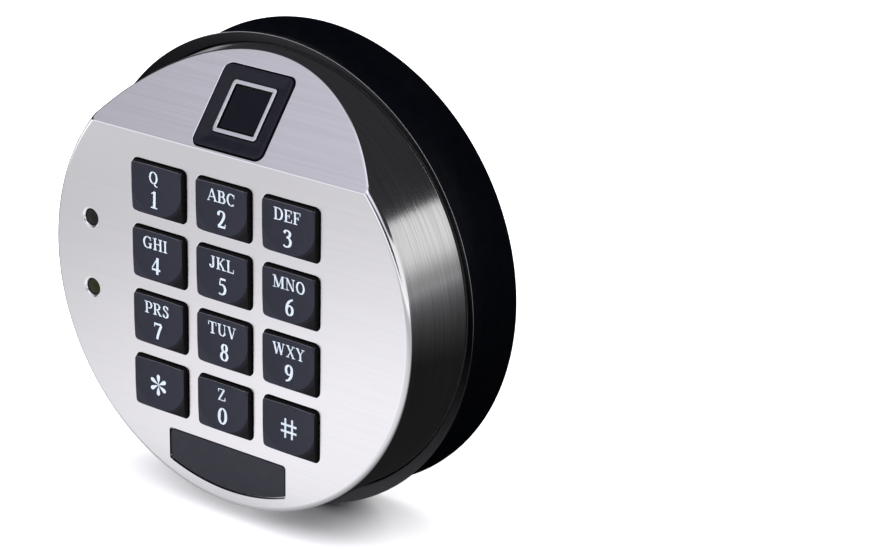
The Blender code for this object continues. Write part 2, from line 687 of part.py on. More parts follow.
def build_front_housing(parts, cutters, panel, reader):
    slope = (SKIRT_RADIUS - FACE_RADIUS) / (FACE_HEIGHT - SKIRT_HEIGHT)
    rim = arc((FACE_RADIUS - RIM_FILLET, FACE_HEIGHT - RIM_FILLET), RIM_FILLET, pi / 2, 0.0, CORNER_STEPS)
    profile = [(0.0, FACE_HEIGHT)] + rim + [(SKIRT_RADIUS, SKIRT_HEIGHT), (0.0, SKIRT_HEIGHT)]
    housing = turned("front_housing", profile, ROUND_SEGMENTS, parts, panel)
    cut(housing, facet_block("facet_cut", 0.0, cutters, reader))

    inner_top = FACE_RADIUS - HOUSING_WALL
    corner = arc((inner_top - RIM_FILLET, CEILING - RIM_FILLET), RIM_FILLET, pi / 2, 0.0, CORNER_STEPS)
    mouth = SKIRT_HEIGHT - OVERRUN
    mouth_radius = SKIRT_RADIUS - HOUSING_WALL + slope * OVERRUN
    hollow = [(0.0, CEILING)] + corner + [(mouth_radius, mouth), (0.0, mouth)]
    cavity = as_cutter(turned("housing_cavity", hollow, ROUND_SEGMENTS, cutters, panel))
    cut(cavity, facet_block("cavity_facet_cut", -HOUSING_WALL, cutters, reader))
    cut(housing, cavity)

    posts = cylinder_profile(SCREW_POST_RADIUS, SCREW_POST_FOOT, CEILING + OVERRUN)
    screw_posts = as_cutter(turned("screw_posts", posts, SMALL_SEGMENTS, cutters, panel))
    joined(housing, patterned(screw_posts, SCREW_PLACES))
    posts = cylinder_profile(BOARD_POST_RADIUS, BOARD_POST_FOOT, CEILING + OVERRUN)
    board_posts = as_cutter(turned("board_posts", posts, SMALL_SEGMENTS, cutters, panel))
    joined(housing, patterned(board_posts, BOARD_SCREW_PLACES))
    posts = cylinder_profile(CLAMP_POST_RADIUS, BEZEL_FLANGE_FOOT, OVERRUN - HOUSING_WALL)
    clamp_posts = as_cutter(turned("clamp_posts", posts, SMALL_SEGMENTS, cutters, reader))
    joined(housing, patterned(clamp_posts, CLAMP_SCREW_PLACES))

    bores = cylinder_profile(SCREW_HOLE_RADIUS, SCREW_POST_FOOT - OVERRUN, SCREW_TIP + GAP)
    screw_bores = as_cutter(turned("screw_bores", bores, HOLE_SEGMENTS, cutters, panel))
    cut(housing, patterned(screw_bores, SCREW_PLACES))
    bore_end = BOARD_POST_FOOT + SMALL_SCREW_BITE + GAP
    bores = cylinder_profile(SMALL_HOLE_RADIUS, BOARD_POST_FOOT - OVERRUN, bore_end)
    board_bores = as_cutter(turned("board_bores", bores, HOLE_SEGMENTS, cutters, panel))
    cut(housing, patterned(board_bores, BOARD_SCREW_PLACES))
    bore_end = BEZEL_FLANGE_FOOT + SMALL_SCREW_BITE - GAP
    bores = cylinder_profile(SMALL_HOLE_RADIUS, BEZEL_FLANGE_FOOT - OVERRUN, bore_end)
    clamp_bores = as_cutter(turned("clamp_bores", bores, HOLE_SEGMENTS, cutters, reader))
    cut(housing, patterned(clamp_bores, CLAMP_SCREW_PLACES))

    opening = rounded_rectangle(KEY_HOLE_WIDTH, KEY_HOLE_HEIGHT, KEY_HOLE_CORNER)
    key_openings = plate("key_openings", opening, CEILING - OVERRUN, FACE_HEIGHT + OVERRUN, cutters, panel)
    cut(housing, patterned(as_cutter(key_openings), key_places()))

    sink = FACE_HEIGHT - LAMP_SINK_DEPTH
    lamp_hole = [
        (0.0, FACE_HEIGHT + OVERRUN),
        (LAMP_SINK_RADIUS, FACE_HEIGHT + OVERRUN),
        (LAMP_SINK_RADIUS, FACE_HEIGHT),
        (LAMP_RADIUS + GAP, sink),
        (LAMP_RADIUS + GAP, CEILING - OVERRUN),
        (0.0, CEILING - OVERRUN),
    ]
    lamp_holes = as_cutter(turned("lamp_holes", lamp_hole, SMALL_SEGMENTS, cutters, panel))
    cut(housing, patterned(lamp_holes, LAMP_PLACES))

    recess_floor = FACE_HEIGHT - INLAY_RECESS - INLAY_THICKNESS - GAP
    recess = plate("inlay_recess", inlay_outline(GAP), recess_floor, FACE_HEIGHT + OVERRUN, cutters, panel)
    cut(housing, as_cutter(recess))

    window = rounded_rectangle(BEZEL_WIDTH + 2 * GAP, BEZEL_HEIGHT + 2 * GAP, BEZEL_CORNER + GAP)
    low = -HOUSING_WALL - OVERRUN
    reader_window = plate("reader_window", window, low, OVERRUN, cutters, reader, (0.0, BEZEL_MIDDLE))
    cut(housing, as_cutter(reader_window))
    return finished(housing, brushed_metal())


def inlay_outline(margin):
    """A segment of the face: straight top and sides, with a bottom that follows the rim."""
    half = INLAY_HALF_WIDTH + margin
    top = -INLAY_TOP_DROP + margin
    radius = INLAY_ARC_RADIUS + margin
    reach = math_angle(half, radius)
    bottom = arc((0.0, 0.0), radius, -pi / 2 - reach, -pi / 2 + reach, INLAY_ARC_STEPS)
    return rounded_outline(bottom + [(half, top), (-half, top)], INLAY_CORNER)


def math_angle(half_chord, radius):
    """The angle at a circle's centre under half of a chord."""
    return Vector((sqrt(radius**2 - half_chord**2), half_chord)).angle(Vector((1.0, 0.0)))


def build_inlay_plate(parts, panel):
    top = FACE_HEIGHT - INLAY_RECESS
    inlay = plate("inlay_plate", inlay_outline(0.0), top - INLAY_THICKNESS, top, parts, panel)
    return finished(inlay, inlay_black())


def key_head_profile():
    """A shallow spherical dish with a crisp rim, outside which the shoulder falls away."""
    dish_sphere = (KEY_DISH_RADIUS**2 + KEY_DISH_DEPTH**2) / (2 * KEY_DISH_DEPTH)
    shoulder_centre = KEY_RIM_TOP - sqrt(KEY_SHOULDER_RADIUS**2 - KEY_DISH_RADIUS**2)
    profile = []
    for ring in range(DISH_RINGS + 1):
        radius = KEY_DISH_RADIUS * ring / DISH_RINGS
        rise = dish_sphere - sqrt(dish_sphere**2 - radius**2)
        profile.append((radius, KEY_DISH_FLOOR + rise))
    reach = Vector((KEY_WIDTH, KEY_HEIGHT)).length / 2 + KEY_DISH_RISE
    for ring in range(1, SHOULDER_RINGS + 1):
        radius = KEY_DISH_RADIUS + (reach - KEY_DISH_RADIUS) * ring / SHOULDER_RINGS
        profile.append((radius, shoulder_centre + sqrt(KEY_SHOULDER_RADIUS**2 - radius**2)))
    foot = KEY_FLANGE_TOP - OVERRUN
    return profile + [(reach, foot), (0.0, foot)]


def key_cap_mesh(cutters, panel):
    """One hollow cap: drafted block, dished head, flange behind the face and inner plunger."""
    outline = rounded_rectangle(KEY_WIDTH, KEY_HEIGHT, KEY_CORNER)
    draft = (1 - 2 * KEY_DRAFT / KEY_WIDTH, 1 - 2 * KEY_DRAFT / KEY_HEIGHT)
    block_top = KEY_RIM_TOP + KEY_PROUD
    block_foot = KEY_FLANGE_TOP - KEY_FLANGE_THICKNESS / 2
    cap = tapered("key_cap", outline, block_foot, block_top, draft, cutters, panel)
    head = turned("key_head", key_head_profile(), DISH_SEGMENTS, cutters, panel, (0.0, KEY_DISH_RISE))
    kept_inside(cap, as_cutter(head))
    lip = rounded_rectangle(KEY_FLANGE_WIDTH, KEY_FLANGE_HEIGHT, KEY_HOLE_CORNER)
    flange = plate("key_flange", lip, KEY_FLANGE_FOOT, KEY_FLANGE_TOP, cutters, panel)
    joined(cap, as_cutter(flange))
    hollow = rectangle(KEY_WIDTH - 2 * KEY_SIDE_WALL, KEY_HEIGHT - 2 * KEY_SIDE_WALL)
    pocket = plate("key_pocket", hollow, KEY_FLANGE_FOOT - OVERRUN, KEY_POCKET_TOP, cutters, panel)
    cut(cap, as_cutter(pocket))
    stub = cylinder_profile(KEY_PLUNGER_RADIUS, KEY_PLUNGER_FOOT, KEY_POCKET_TOP + KEY_CROWN_WALL / 2)
    plunger = turned("key_plunger", stub, HOLE_SEGMENTS, cutters, panel)
    joined(cap, as_cutter(plunger))
    mesh = cap.data.copy()
    mesh.transform(Matrix.Translation((0.0, 0.0, -FACE_HEIGHT)))
    bpy.data.objects.remove(cap, do_unlink=True)
    return mesh


def build_keys(parts, cutters, panel):
    """Twelve caps, each with its origin on its own sliding axis at the face."""
    mesh = key_cap_mesh(cutters, panel)
    mesh.name = "key_cap"
    rubber = key_rubber()
    for name, place in zip(KEY_NAMES, key_places()):
        key = placed(bpy.data.objects.new("key_" + name, mesh), parts, panel, place)
        key.location.z = FACE_HEIGHT
        finished(key, rubber)


def build_key_mat(parts, cutters, panel):
    width = (KEY_COLUMNS - 1) * KEY_PITCH_ACROSS + KEY_FLANGE_WIDTH + 2 * MAT_MARGIN
    height = (KEY_ROWS - 1) * KEY_PITCH_UP + KEY_FLANGE_HEIGHT + 2 * MAT_MARGIN
    sheet = rounded_rectangle(width, height, MAT_CORNER)
    mat = plate("key_mat", sheet, MAT_FOOT, MAT_TOP, parts, panel, (0.0, -KEY_PAD_DROP))
    middle = MAT_TOP - MAT_THICKNESS / 2
    outside = [
        (0.0, DOME_TOP),
        (DOME_TOP_RADIUS, DOME_TOP),
        (DOME_RADIUS, MAT_TOP),
        (DOME_RADIUS, middle),
        (0.0, middle),
    ]
    domes = as_cutter(turned("mat_domes", outside, HOLE_SEGMENTS, cutters, panel))
    joined(mat, patterned(domes, key_places()))
    inner_top = DOME_TOP - DOME_WALL
    foot = MAT_FOOT - OVERRUN
    inside = [
        (0.0, inner_top),
        (DOME_TOP_RADIUS - DOME_WALL, inner_top),
        (DOME_RADIUS - DOME_WALL, MAT_TOP - DOME_WALL),
        (DOME_RADIUS - DOME_WALL, foot),
        (0.0, foot),
    ]
    hollows = as_cutter(turned("mat_hollows", inside, HOLE_SEGMENTS, cutters, panel))
    cut(mat, patterned(hollows, key_places()))
    return finished(mat, silicone())


def build_main_board(parts, cutters, panel):
    board = turned(
        "main_board", cylinder_profile(BOARD_RADIUS, BOARD_FOOT, BOARD_TOP), ROUND_SEGMENTS // 2, parts, panel
    )
    low = BOARD_FOOT - OVERRUN
    high = BOARD_TOP + OVERRUN
    top_trim = rectangle(2 * SKIRT_RADIUS, SKIRT_RADIUS)
    trim = plate("board_trim", top_trim, low, high, cutters, panel, (0.0, BOARD_TOP_EDGE + SKIRT_RADIUS / 2))
    cut(board, as_cutter(trim))
    notch = cylinder_profile(SCREW_POST_RADIUS + 2 * GAP, low, high)
    notches = as_cutter(turned("board_notches", notch, SMALL_SEGMENTS, cutters, panel))
    cut(board, patterned(notches, SCREW_PLACES))
    hole = cylinder_profile(SMALL_HOLE_RADIUS, low, high)
    holes = as_cutter(turned("board_holes", hole, HOLE_SEGMENTS, cutters, panel))
    cut(board, patterned(holes, BOARD_SCREW_PLACES))
    finished(board, board_green())

    steel = steel_screw()
    tip = BOARD_POST_FOOT + SMALL_SCREW_BITE
    profile = screw_profile(SMALL_SCREW_RADIUS, SMALL_HEAD_RADIUS, COMPONENT_TOP, SMALL_HEAD_HEIGHT, tip)
    for index, place in enumerate(BOARD_SCREW_PLACES):
        name = "board_screw_" + str(index + 1)
        finished(turned(name, profile, HOLE_SEGMENTS, parts, panel, place), steel)


def build_board_components(parts, cutters, panel):
    top = COMPONENT_TOP
    side = rectangle(CHIP_SIZE, CHIP_SIZE)
    chip = plate("control_chip", side, top - CHIP_HEIGHT, top, parts, panel, (-CHIP_ACROSS, CHIP_UP))
    finished(chip, chip_black())

    foot = top - BUZZER_HEIGHT
    port_top = foot + BUZZER_PORT_DEPTH
    can = [
        (0.0, top),
        (BUZZER_RADIUS, top),
        (BUZZER_RADIUS, foot),
        (BUZZER_PORT_RADIUS, foot),
        (BUZZER_PORT_RADIUS, port_top),
        (0.0, port_top),
    ]
    finished(turned("buzzer", can, SMALL_SEGMENTS, parts, panel, (0.0, COMPONENT_MIDDLE)), chip_black())

    place = (LOCK_SOCKET_ACROSS, LOCK_SOCKET_UP)
    foot = top - LOCK_SOCKET_HEIGHT
    outline = rectangle(LOCK_SOCKET_WIDTH, LOCK_SOCKET_DEPTH)
    socket = plate("lock_socket", outline, foot, top, parts, panel, place)
    mouth = rectangle(LOCK_SOCKET_WIDTH - 2 * LOCK_SOCKET_WALL, LOCK_SOCKET_DEPTH - 2 * LOCK_SOCKET_WALL)
    opening = plate("socket_mouth", mouth, foot - OVERRUN, top - LOCK_SOCKET_WALL, cutters, panel, place)
    cut(socket, as_cutter(opening))
    finished(socket, socket_white())

    place = (0.0, BOARD_TOP_EDGE - FLEX_SOCKET_SETBACK - FLEX_SOCKET_DEPTH / 2)
    outline = rectangle(FLEX_SOCKET_WIDTH, FLEX_SOCKET_DEPTH)
    socket = plate("flex_socket", outline, top - FLEX_SOCKET_HEIGHT, top, parts, panel, place)
    finished(socket, socket_white())


def build_lamps(parts, panel):
    dome = arc((0.0, LAMP_TOP - LAMP_RADIUS), LAMP_RADIUS, pi / 2, 0.0, LAMP_DOME_STEPS)
    flange_top = LAMP_FOOT + LAMP_FLANGE_HEIGHT
    profile = dome + [
        (LAMP_RADIUS, flange_top),
        (LAMP_FLANGE_RADIUS, flange_top),
        (LAMP_FLANGE_RADIUS, LAMP_FOOT),
        (0.0, LAMP_FOOT),
    ]
    upper = turned("lamp_upper", profile, SMALL_SEGMENTS, parts, panel, LAMP_PLACES[0])
    finished(upper, lamp_clear("lamp_dark", (0.03, 0.03, 0.03)))
    lower = turned("lamp_lower", profile, SMALL_SEGMENTS, parts, panel, LAMP_PLACES[1])
    finished(lower, lamp_clear("lamp_green", (0.05, 0.07, 0.02)))


def build_reader(parts, cutters, reader):
    middle = (0.0, BEZEL_MIDDLE)
    outline = rounded_rectangle(BEZEL_WIDTH, BEZEL_HEIGHT, BEZEL_CORNER)
    bezel = plate("sensor_bezel", outline, BEZEL_FLANGE_FOOT, BEZEL_PROUD, parts, reader, middle)
    lip_height = BEZEL_HEIGHT + BEZEL_FLANGE_TOP_LIP - GAP
    lip = rounded_rectangle(BEZEL_WIDTH + 2 * BEZEL_FLANGE_LIP, lip_height, BEZEL_CORNER)
    lip_place = (0.0, BEZEL_MIDDLE + (BEZEL_FLANGE_TOP_LIP + GAP) / 2)
    flange = plate("bezel_flange", lip, BEZEL_FLANGE_FOOT, BEZEL_FLANGE_TOP, cutters, reader, lip_place)
    joined(bezel, as_cutter(flange))
    window_width = SENSOR_FRAME_WIDTH + 2 * GAP
    window_height = SENSOR_FRAME_HEIGHT + 2 * GAP
    floor_width = window_width + 2 * BEZEL_DISH_MARGIN
    floor_height = window_height + 2 * BEZEL_DISH_MARGIN
    spread = (BEZEL_DISH_DEPTH + OVERRUN) / BEZEL_DISH_DEPTH
    lid_width = floor_width + (BEZEL_WIDTH - 2 * BEZEL_RIM - floor_width) * spread
    lid_height = floor_height + (BEZEL_HEIGHT - 2 * BEZEL_RIM - floor_height) * spread
    lid_scale = (lid_width / floor_width, lid_height / floor_height)
    floor = rounded_rectangle(floor_width, floor_height, SENSOR_FRAME_CORNER)
    lid = BEZEL_PROUD + OVERRUN
    dish = tapered("bezel_dish", floor, BEZEL_DISH_FLOOR, lid, lid_scale, cutters, reader, middle)
    cut(bezel, as_cutter(dish))
    sensor_place = (0.0, SENSOR_MIDDLE)
    hole = rounded_rectangle(window_width, window_height, SENSOR_FRAME_CORNER + GAP)
    window = plate("bezel_window", hole, BEZEL_FLANGE_FOOT - OVERRUN, OVERRUN, cutters, reader, sensor_place)
    cut(bezel, as_cutter(window))
    room = rectangle(SENSOR_BOARD_WIDTH + 2 * GAP, SENSOR_BOARD_HEIGHT + 2 * GAP)
    low = BEZEL_FLANGE_FOOT - OVERRUN
    pocket = plate("bezel_pocket", room, low, BEZEL_POCKET_TOP, cutters, reader, sensor_place)
    cut(bezel, as_cutter(pocket))
    finished(bezel, bezel_black())

    outline = rounded_rectangle(SENSOR_FRAME_WIDTH, SENSOR_FRAME_HEIGHT, SENSOR_FRAME_CORNER)
    frame = plate("sensor_frame", outline, SENSOR_FOOT, 0.0, parts, reader, sensor_place)
    pad_width = SENSOR_FRAME_WIDTH - 2 * SENSOR_FRAME_BAND
    pad_height = SENSOR_FRAME_HEIGHT - 2 * SENSOR_FRAME_BAND
    hole = rounded_rectangle(pad_width, pad_height, SENSOR_PAD_CORNER)
    opening = plate("frame_opening", hole, SENSOR_FOOT - OVERRUN, OVERRUN, cutters, reader, sensor_place)
    cut(frame, as_cutter(opening))
    finished(frame, silver_trim())

    outline = rounded_rectangle(pad_width - 2 * GAP, pad_height - 2 * GAP, SENSOR_PAD_CORNER)
    pad = plate("sensor_pad", outline, SENSOR_FOOT, -SENSOR_PAD_SINK, parts, reader, sensor_place)
    finished(pad, sensor_coating())

    outline = rectangle(SENSOR_BOARD_WIDTH, SENSOR_BOARD_HEIGHT)
    board = plate("sensor_board", outline, SENSOR_BOARD_FOOT, SENSOR_BOARD_TOP, parts, reader, sensor_place)
    finished(board, board_green())


def build_reader_clamp(parts, cutters, reader):
    width = 2 * (CLAMP_POST_ACROSS + CLAMP_POST_RADIUS)
    outline = rounded_rectangle(width, CLAMP_HEIGHT, CLAMP_CORNER)
    clamp = plate("sensor_clamp", outline, CLAMP_FOOT, CLAMP_TOP, parts, reader, (0.0, BEZEL_MIDDLE))
    hole = cylinder_profile(SMALL_HOLE_RADIUS, CLAMP_FOOT - OVERRUN, CLAMP_TOP + OVERRUN)
    holes = as_cutter(turned("clamp_holes", hole, HOLE_SEGMENTS, cutters, reader))
    cut(clamp, patterned(holes, CLAMP_SCREW_PLACES))
    finished(clamp, steel_screw())

    seat = CLAMP_FOOT - GAP
    tip = BEZEL_FLANGE_FOOT + SMALL_SCREW_BITE - 2 * GAP
    profile = screw_profile(SMALL_SCREW_RADIUS, SMALL_HEAD_RADIUS, seat, SMALL_HEAD_HEIGHT, tip)
    for side, place in zip(("left", "right"), CLAMP_SCREW_PLACES):
        screw = turned("clamp_screw_" + side, profile, HOLE_SEGMENTS, parts, reader, place)
        finished(screw, steel_screw())


def build_sensor_flex(parts, reader_board_foot, panel):
    """A thin strip from the back of the reader's board down to the socket at the main board's edge."""
    leave = reader_board_foot - GAP - FLEX_THICKNESS / 2
    middle = COMPONENT_TOP - FLEX_SOCKET_HEIGHT / 2
    stand = BOARD_TOP_EDGE + FLEX_STAND_OFF
    points = [
        reader_point(FLEX_EXIT, leave),
        reader_point(FLEX_EXIT - FLEX_LEAD, leave - FLEX_DIP),
        (stand, BOARD_TOP + FLEX_DIP),
        (stand, BOARD_FOOT),
        (stand - FLEX_BEND, middle),
        (BOARD_TOP_EDGE - FLEX_SOCKET_SETBACK + GAP, middle),
    ]
    route = smooth_route(points, FLEX_STEPS)
    verts = []
    faces = []
    for index, spot in enumerate(route):
        verts.append((-FLEX_WIDTH / 2, spot[0], spot[1]))
        verts.append((FLEX_WIDTH / 2, spot[0], spot[1]))
        if index:
            last = 2 * index
            faces.append((last - 2, last - 1, last + 1, last))
    mesh = bpy.data.meshes.new("sensor_flex")
    mesh.from_pydata(verts, [], faces)
    flex = placed(bpy.data.objects.new("sensor_flex", mesh), parts, panel)
    thicken = flex.modifiers.new("thickness", "SOLIDIFY")
    thicken.thickness = FLEX_THICKNESS
    thicken.offset = 0.0
    thicken.use_even_offset = True
    settle(flex)
    finished(flex, flex_film())


def base_ring_profile():
    """Shoulder, waisted side and rear rim outside; plate recess, shelf and spigot inside."""
    waist = []
    top = RING_EDGE_HEIGHT - RING_EDGE_ROUND
    for step in range(1, WAIST_STEPS):
        share = step / WAIST_STEPS
        radius = RING_EDGE_RADIUS + (REAR_RIM_RADIUS - RING_EDGE_RADIUS) * share
        waist.append((radius - WAIST_DEPTH * sin(pi * share), top + (REAR_RIM_HEIGHT - top) * share))
    outer = [
        (SPIGOT_RADIUS, SPIGOT_TOP),
        (SPIGOT_RADIUS, GROOVE_FLOOR),
        (RING_INNER_RADIUS, GROOVE_FLOOR),
        (RING_INNER_RADIUS, RING_INNER_HEIGHT),
        (RING_EDGE_RADIUS - RING_EDGE_ROUND, RING_EDGE_HEIGHT),
        (RING_EDGE_RADIUS, top),
    ]
    inner = [
        (REAR_RIM_RADIUS, REAR_RIM_HEIGHT),
        (REAR_RIM_RADIUS - REAR_CHAMFER, 0.0),
        (PLATE_RADIUS + GAP, 0.0),
        (PLATE_RADIUS + GAP, PLATE_SEAT),
        (BASE_WALL_RADIUS, PLATE_SEAT),
        (BASE_WALL_RADIUS, SHELF_FOOT),
        (SPIGOT_RADIUS - SPIGOT_WALL, SHELF_FOOT),
        (SPIGOT_RADIUS - SPIGOT_WALL, SPIGOT_TOP),
    ]
    return outer + waist + inner


def build_base(parts, cutters, panel):
    ring = turned("base_ring", base_ring_profile(), ROUND_SEGMENTS, parts, panel, ring=True)
    gate = rectangle(READER_NOTCH_WIDTH, 2 * SPIGOT_WALL + SPIGOT_PLAY)
    middle = (0.0, SPIGOT_RADIUS - SPIGOT_WALL)
    notch = plate("reader_notch", gate, READER_NOTCH_FLOOR, SPIGOT_TOP + OVERRUN, cutters, panel, middle)
    cut(ring, as_cutter(notch))
    finished(ring, black_abs())

    inner = SPIGOT_RADIUS + GAP
    outer = RING_INNER_RADIUS - GAP
    profile = [(inner, SEAL_TOP), (outer, SEAL_TOP), (outer, SEAL_FOOT), (inner, SEAL_FOOT)]
    finished(turned("seal_ring", profile, ROUND_SEGMENTS, parts, panel, ring=True), seal_rubber())


def build_back_plate(parts, cutters, panel):
    disc = cylinder_profile(PLATE_RADIUS, 0.0, PLATE_THICKNESS)
    back = turned("back_plate", disc, ROUND_SEGMENTS, parts, panel)
    rooted = PLATE_THICKNESS / 2
    boss = cylinder_profile(BOSS_RADIUS, rooted, BOSS_TOP)
    bosses = as_cutter(turned("plate_bosses", boss, SMALL_SEGMENTS, cutters, panel))
    joined(back, patterned(bosses, SCREW_PLACES))

    inner_width = BAY_RIGHT - BAY_LEFT
    inner_height = BATTERY_WIDTH + 2 * GAP
    middle = ((BAY_LEFT + BAY_RIGHT) / 2, -BATTERY_DROP)
    wall = rectangle(inner_width + 2 * BAY_WALL, inner_height + 2 * BAY_WALL)
    frame = plate("bay_walls", wall, rooted, BAY_WALL_HEIGHT, cutters, panel, middle)
    room = rectangle(inner_width, inner_height)
    hollow = plate("bay_room", room, PLATE_THICKNESS, BAY_WALL_HEIGHT + OVERRUN, cutters, panel, middle)
    cut(as_cutter(frame), as_cutter(hollow))
    joined(back, frame)

    bore = cylinder_profile(SCREW_HOLE_RADIUS, -OVERRUN, BOSS_TOP + OVERRUN)
    bores = as_cutter(turned("boss_bores", bore, HOLE_SEGMENTS, cutters, panel))
    cut(back, patterned(bores, SCREW_PLACES))
    sink = cylinder_profile(SCREW_HEAD_RADIUS + GAP, -OVERRUN, COUNTERBORE_TOP)
    sinks = as_cutter(turned("boss_sinks", sink, SMALL_SEGMENTS, cutters, panel))
    cut(back, patterned(sinks, SCREW_PLACES))
    hole = cylinder_profile(MOUNT_HOLE_RADIUS, -OVERRUN, PLATE_THICKNESS + OVERRUN)
    holes = as_cutter(turned("mount_holes", hole, SMALL_SEGMENTS, cutters, panel))
    across = ((-MOUNT_HOLE_ACROSS, CABLE_HOLE_UP), (MOUNT_HOLE_ACROSS, CABLE_HOLE_UP))
    cut(back, patterned(holes, across))
    hole = cylinder_profile(CABLE_HOLE_RADIUS, -OVERRUN, PLATE_THICKNESS + OVERRUN)
    cable_hole = as_cutter(turned("cable_hole", hole, SMALL_SEGMENTS, cutters, panel, (0.0, CABLE_HOLE_UP)))
    cut(back, cable_hole)
    finished(back, black_abs())

    neck = CABLE_HOLE_RADIUS - GAP
    flange_foot = PLATE_THICKNESS + GAP
    flange_top = flange_foot + GROMMET_FLANGE_THICKNESS
    profile = [
        (GROMMET_BORE_RADIUS, GROMMET_HEIGHT),
        (neck, GROMMET_HEIGHT),
        (neck, flange_top),
        (GROMMET_FLANGE_RADIUS, flange_top),
        (GROMMET_FLANGE_RADIUS, flange_foot),
        (neck, flange_foot),
        (neck, GROMMET_BACK_SINK),
        (GROMMET_BORE_RADIUS, GROMMET_BACK_SINK),
    ]
    place = (0.0, CABLE_HOLE_UP)
    finished(turned("cable_grommet", profile, SMALL_SEGMENTS, parts, panel, place, ring=True), seal_rubber())

    steel = steel_screw()
    profile = screw_profile(SCREW_RADIUS, SCREW_HEAD_RADIUS, SCREW_HEAD_TOP, SCREW_HEAD_HEIGHT, SCREW_TIP)
    for index, place in enumerate(SCREW_PLACES):
        name = "housing_screw_" + str(index + 1)
        finished(turned(name, profile, HOLE_SEGMENTS, parts, panel, place), steel)


def build_battery(parts, cutters, panel):
    """The battery lies across the case with its terminals to the right."""
    side = rounded_rectangle(BATTERY_WIDTH, BATTERY_DEPTH, BATTERY_CORNER)
    bed = bpy.data.objects.new("battery_bed", None)
    placed(bed, cutters, panel, (-BATTERY_ACROSS, -BATTERY_DROP))
    bed.location.z = BATTERY_MIDDLE_HEIGHT
    bed.rotation_euler = (pi / 2, 0.0, pi / 2)
    battery = plate("battery", side, -BATTERY_LENGTH / 2, BATTERY_LENGTH / 2, parts, bed)
    top = BATTERY_LENGTH / 2
    stud = cylinder_profile(TERMINAL_RADIUS, top - OVERRUN, top + TERMINAL_HEIGHT)
    studs = as_cutter(turned("terminals", stud, HOLE_SEGMENTS, cutters, bed))
    pair = ((-TERMINAL_SPACING / 2, 0.0), (TERMINAL_SPACING / 2, 0.0))
    joined(battery, patterned(studs, pair))
    finished(battery, battery_wrap())

    outline = rounded_rectangle(CLIP_WIDTH, CLIP_HEIGHT, CLIP_CORNER)
    foot = top + GAP
    clip = plate("battery_clip", outline, foot, foot + CLIP_THICKNESS, parts, bed)
    socket = cylinder_profile(TERMINAL_RADIUS + GAP, foot - OVERRUN, foot + TERMINAL_HEIGHT)
    sockets = as_cutter(turned("clip_sockets", socket, HOLE_SEGMENTS, cutters, bed))
    cut(clip, patterned(sockets, pair))
    finished(clip, chip_black())

    pad_top = COMPONENT_TOP
    outline = rounded_rectangle(PAD_LENGTH, PAD_WIDTH, BATTERY_CORNER)
    middle = (-BATTERY_ACROSS, -BATTERY_DROP)
    pad = plate("battery_pad", outline, BATTERY_TOP + GAP, pad_top, parts, panel, middle)
    finished(pad, foam())


def build_battery_leads(parts, panel):
    """Two wires that rise from the clip, run beside the battery and end under the board."""
    middle = (CLIP_START + CLIP_END) / 2
    start = BATTERY_MIDDLE_HEIGHT + CLIP_HEIGHT / 2 + GAP
    run = start + LEAD_START + LEAD_BEND
    end = BATTERY_UPPER_EDGE + LEAD_END_RISE
    sides = (("red", -1, (0.45, 0.02, 0.02)), ("black", 1, (0.02, 0.02, 0.02)))
    for name, side, colour in sides:
        across = middle + side * LEAD_SPACING / 2
        begin = -BATTERY_DROP - side * TERMINAL_SPACING / 2
        lower = arc((begin + LEAD_BEND, run - LEAD_BEND), LEAD_BEND, pi, pi / 2, LEAD_BEND_STEPS)
        upper = arc((end - LEAD_BEND, run + LEAD_BEND), LEAD_BEND, -pi / 2, 0.0, LEAD_BEND_STEPS)
        path = [(begin, start)] + lower + upper + [(end, COMPONENT_TOP)]
        route = [(across, along, height) for along, height in path]
        lead = rounded_tube("battery_lead_" + name, route, LEAD_RADIUS, parts, panel)
        finished(lead, wire_sleeve("sleeve_" + name, colour))


def main():
    clear_scene()
    parts = new_collection("fingerprint_lock_entry_unit")
    cutters = new_collection("cutters")
    cutters.hide_render = True

    panel = bpy.data.objects.new("panel", None)
    cutters.objects.link(panel)
    panel.rotation_euler = (pi / 2, 0.0, 0.0)
    reader = bpy.data.objects.new("reader", None)
    placed(reader, cutters, panel, (0.0, FACET_CREASE))
    reader.location.z = FACE_HEIGHT
    reader.rotation_euler = (-FACET_TILT, 0.0, 0.0)

    build_front_housing(parts, cutters, panel, reader)
    build_inlay_plate(parts, panel)
    build_keys(parts, cutters, panel)
    build_key_mat(parts, cutters, panel)
    build_main_board(parts, cutters, panel)
    build_board_components(parts, cutters, panel)
    build_lamps(parts, panel)
    build_reader(parts, cutters, reader)
    build_reader_clamp(parts, cutters, reader)
    build_sensor_flex(parts, SENSOR_BOARD_FOOT, panel)
    build_base(parts, cutters, panel)
    build_back_plate(parts, cutters, panel)
    build_battery(parts, cutters, panel)
    build_battery_leads(parts, panel)


main()
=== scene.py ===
"""Looks of the round entry unit with a fingerprint reader, built around its packed frame.

Pieces are drawn lying on their back, in metres: x to the right, y up the face and z out of the door.
PANEL then stands them up. The reader's pieces are leaned back onto the sloping facet before that.
"""

from contextlib import contextmanager
from math import asin, cos, hypot, pi, radians, sin, sqrt, tan

import bmesh
import bpy
from mathutils import Matrix, Vector
from mathutils.geometry import delaunay_2d_cdt


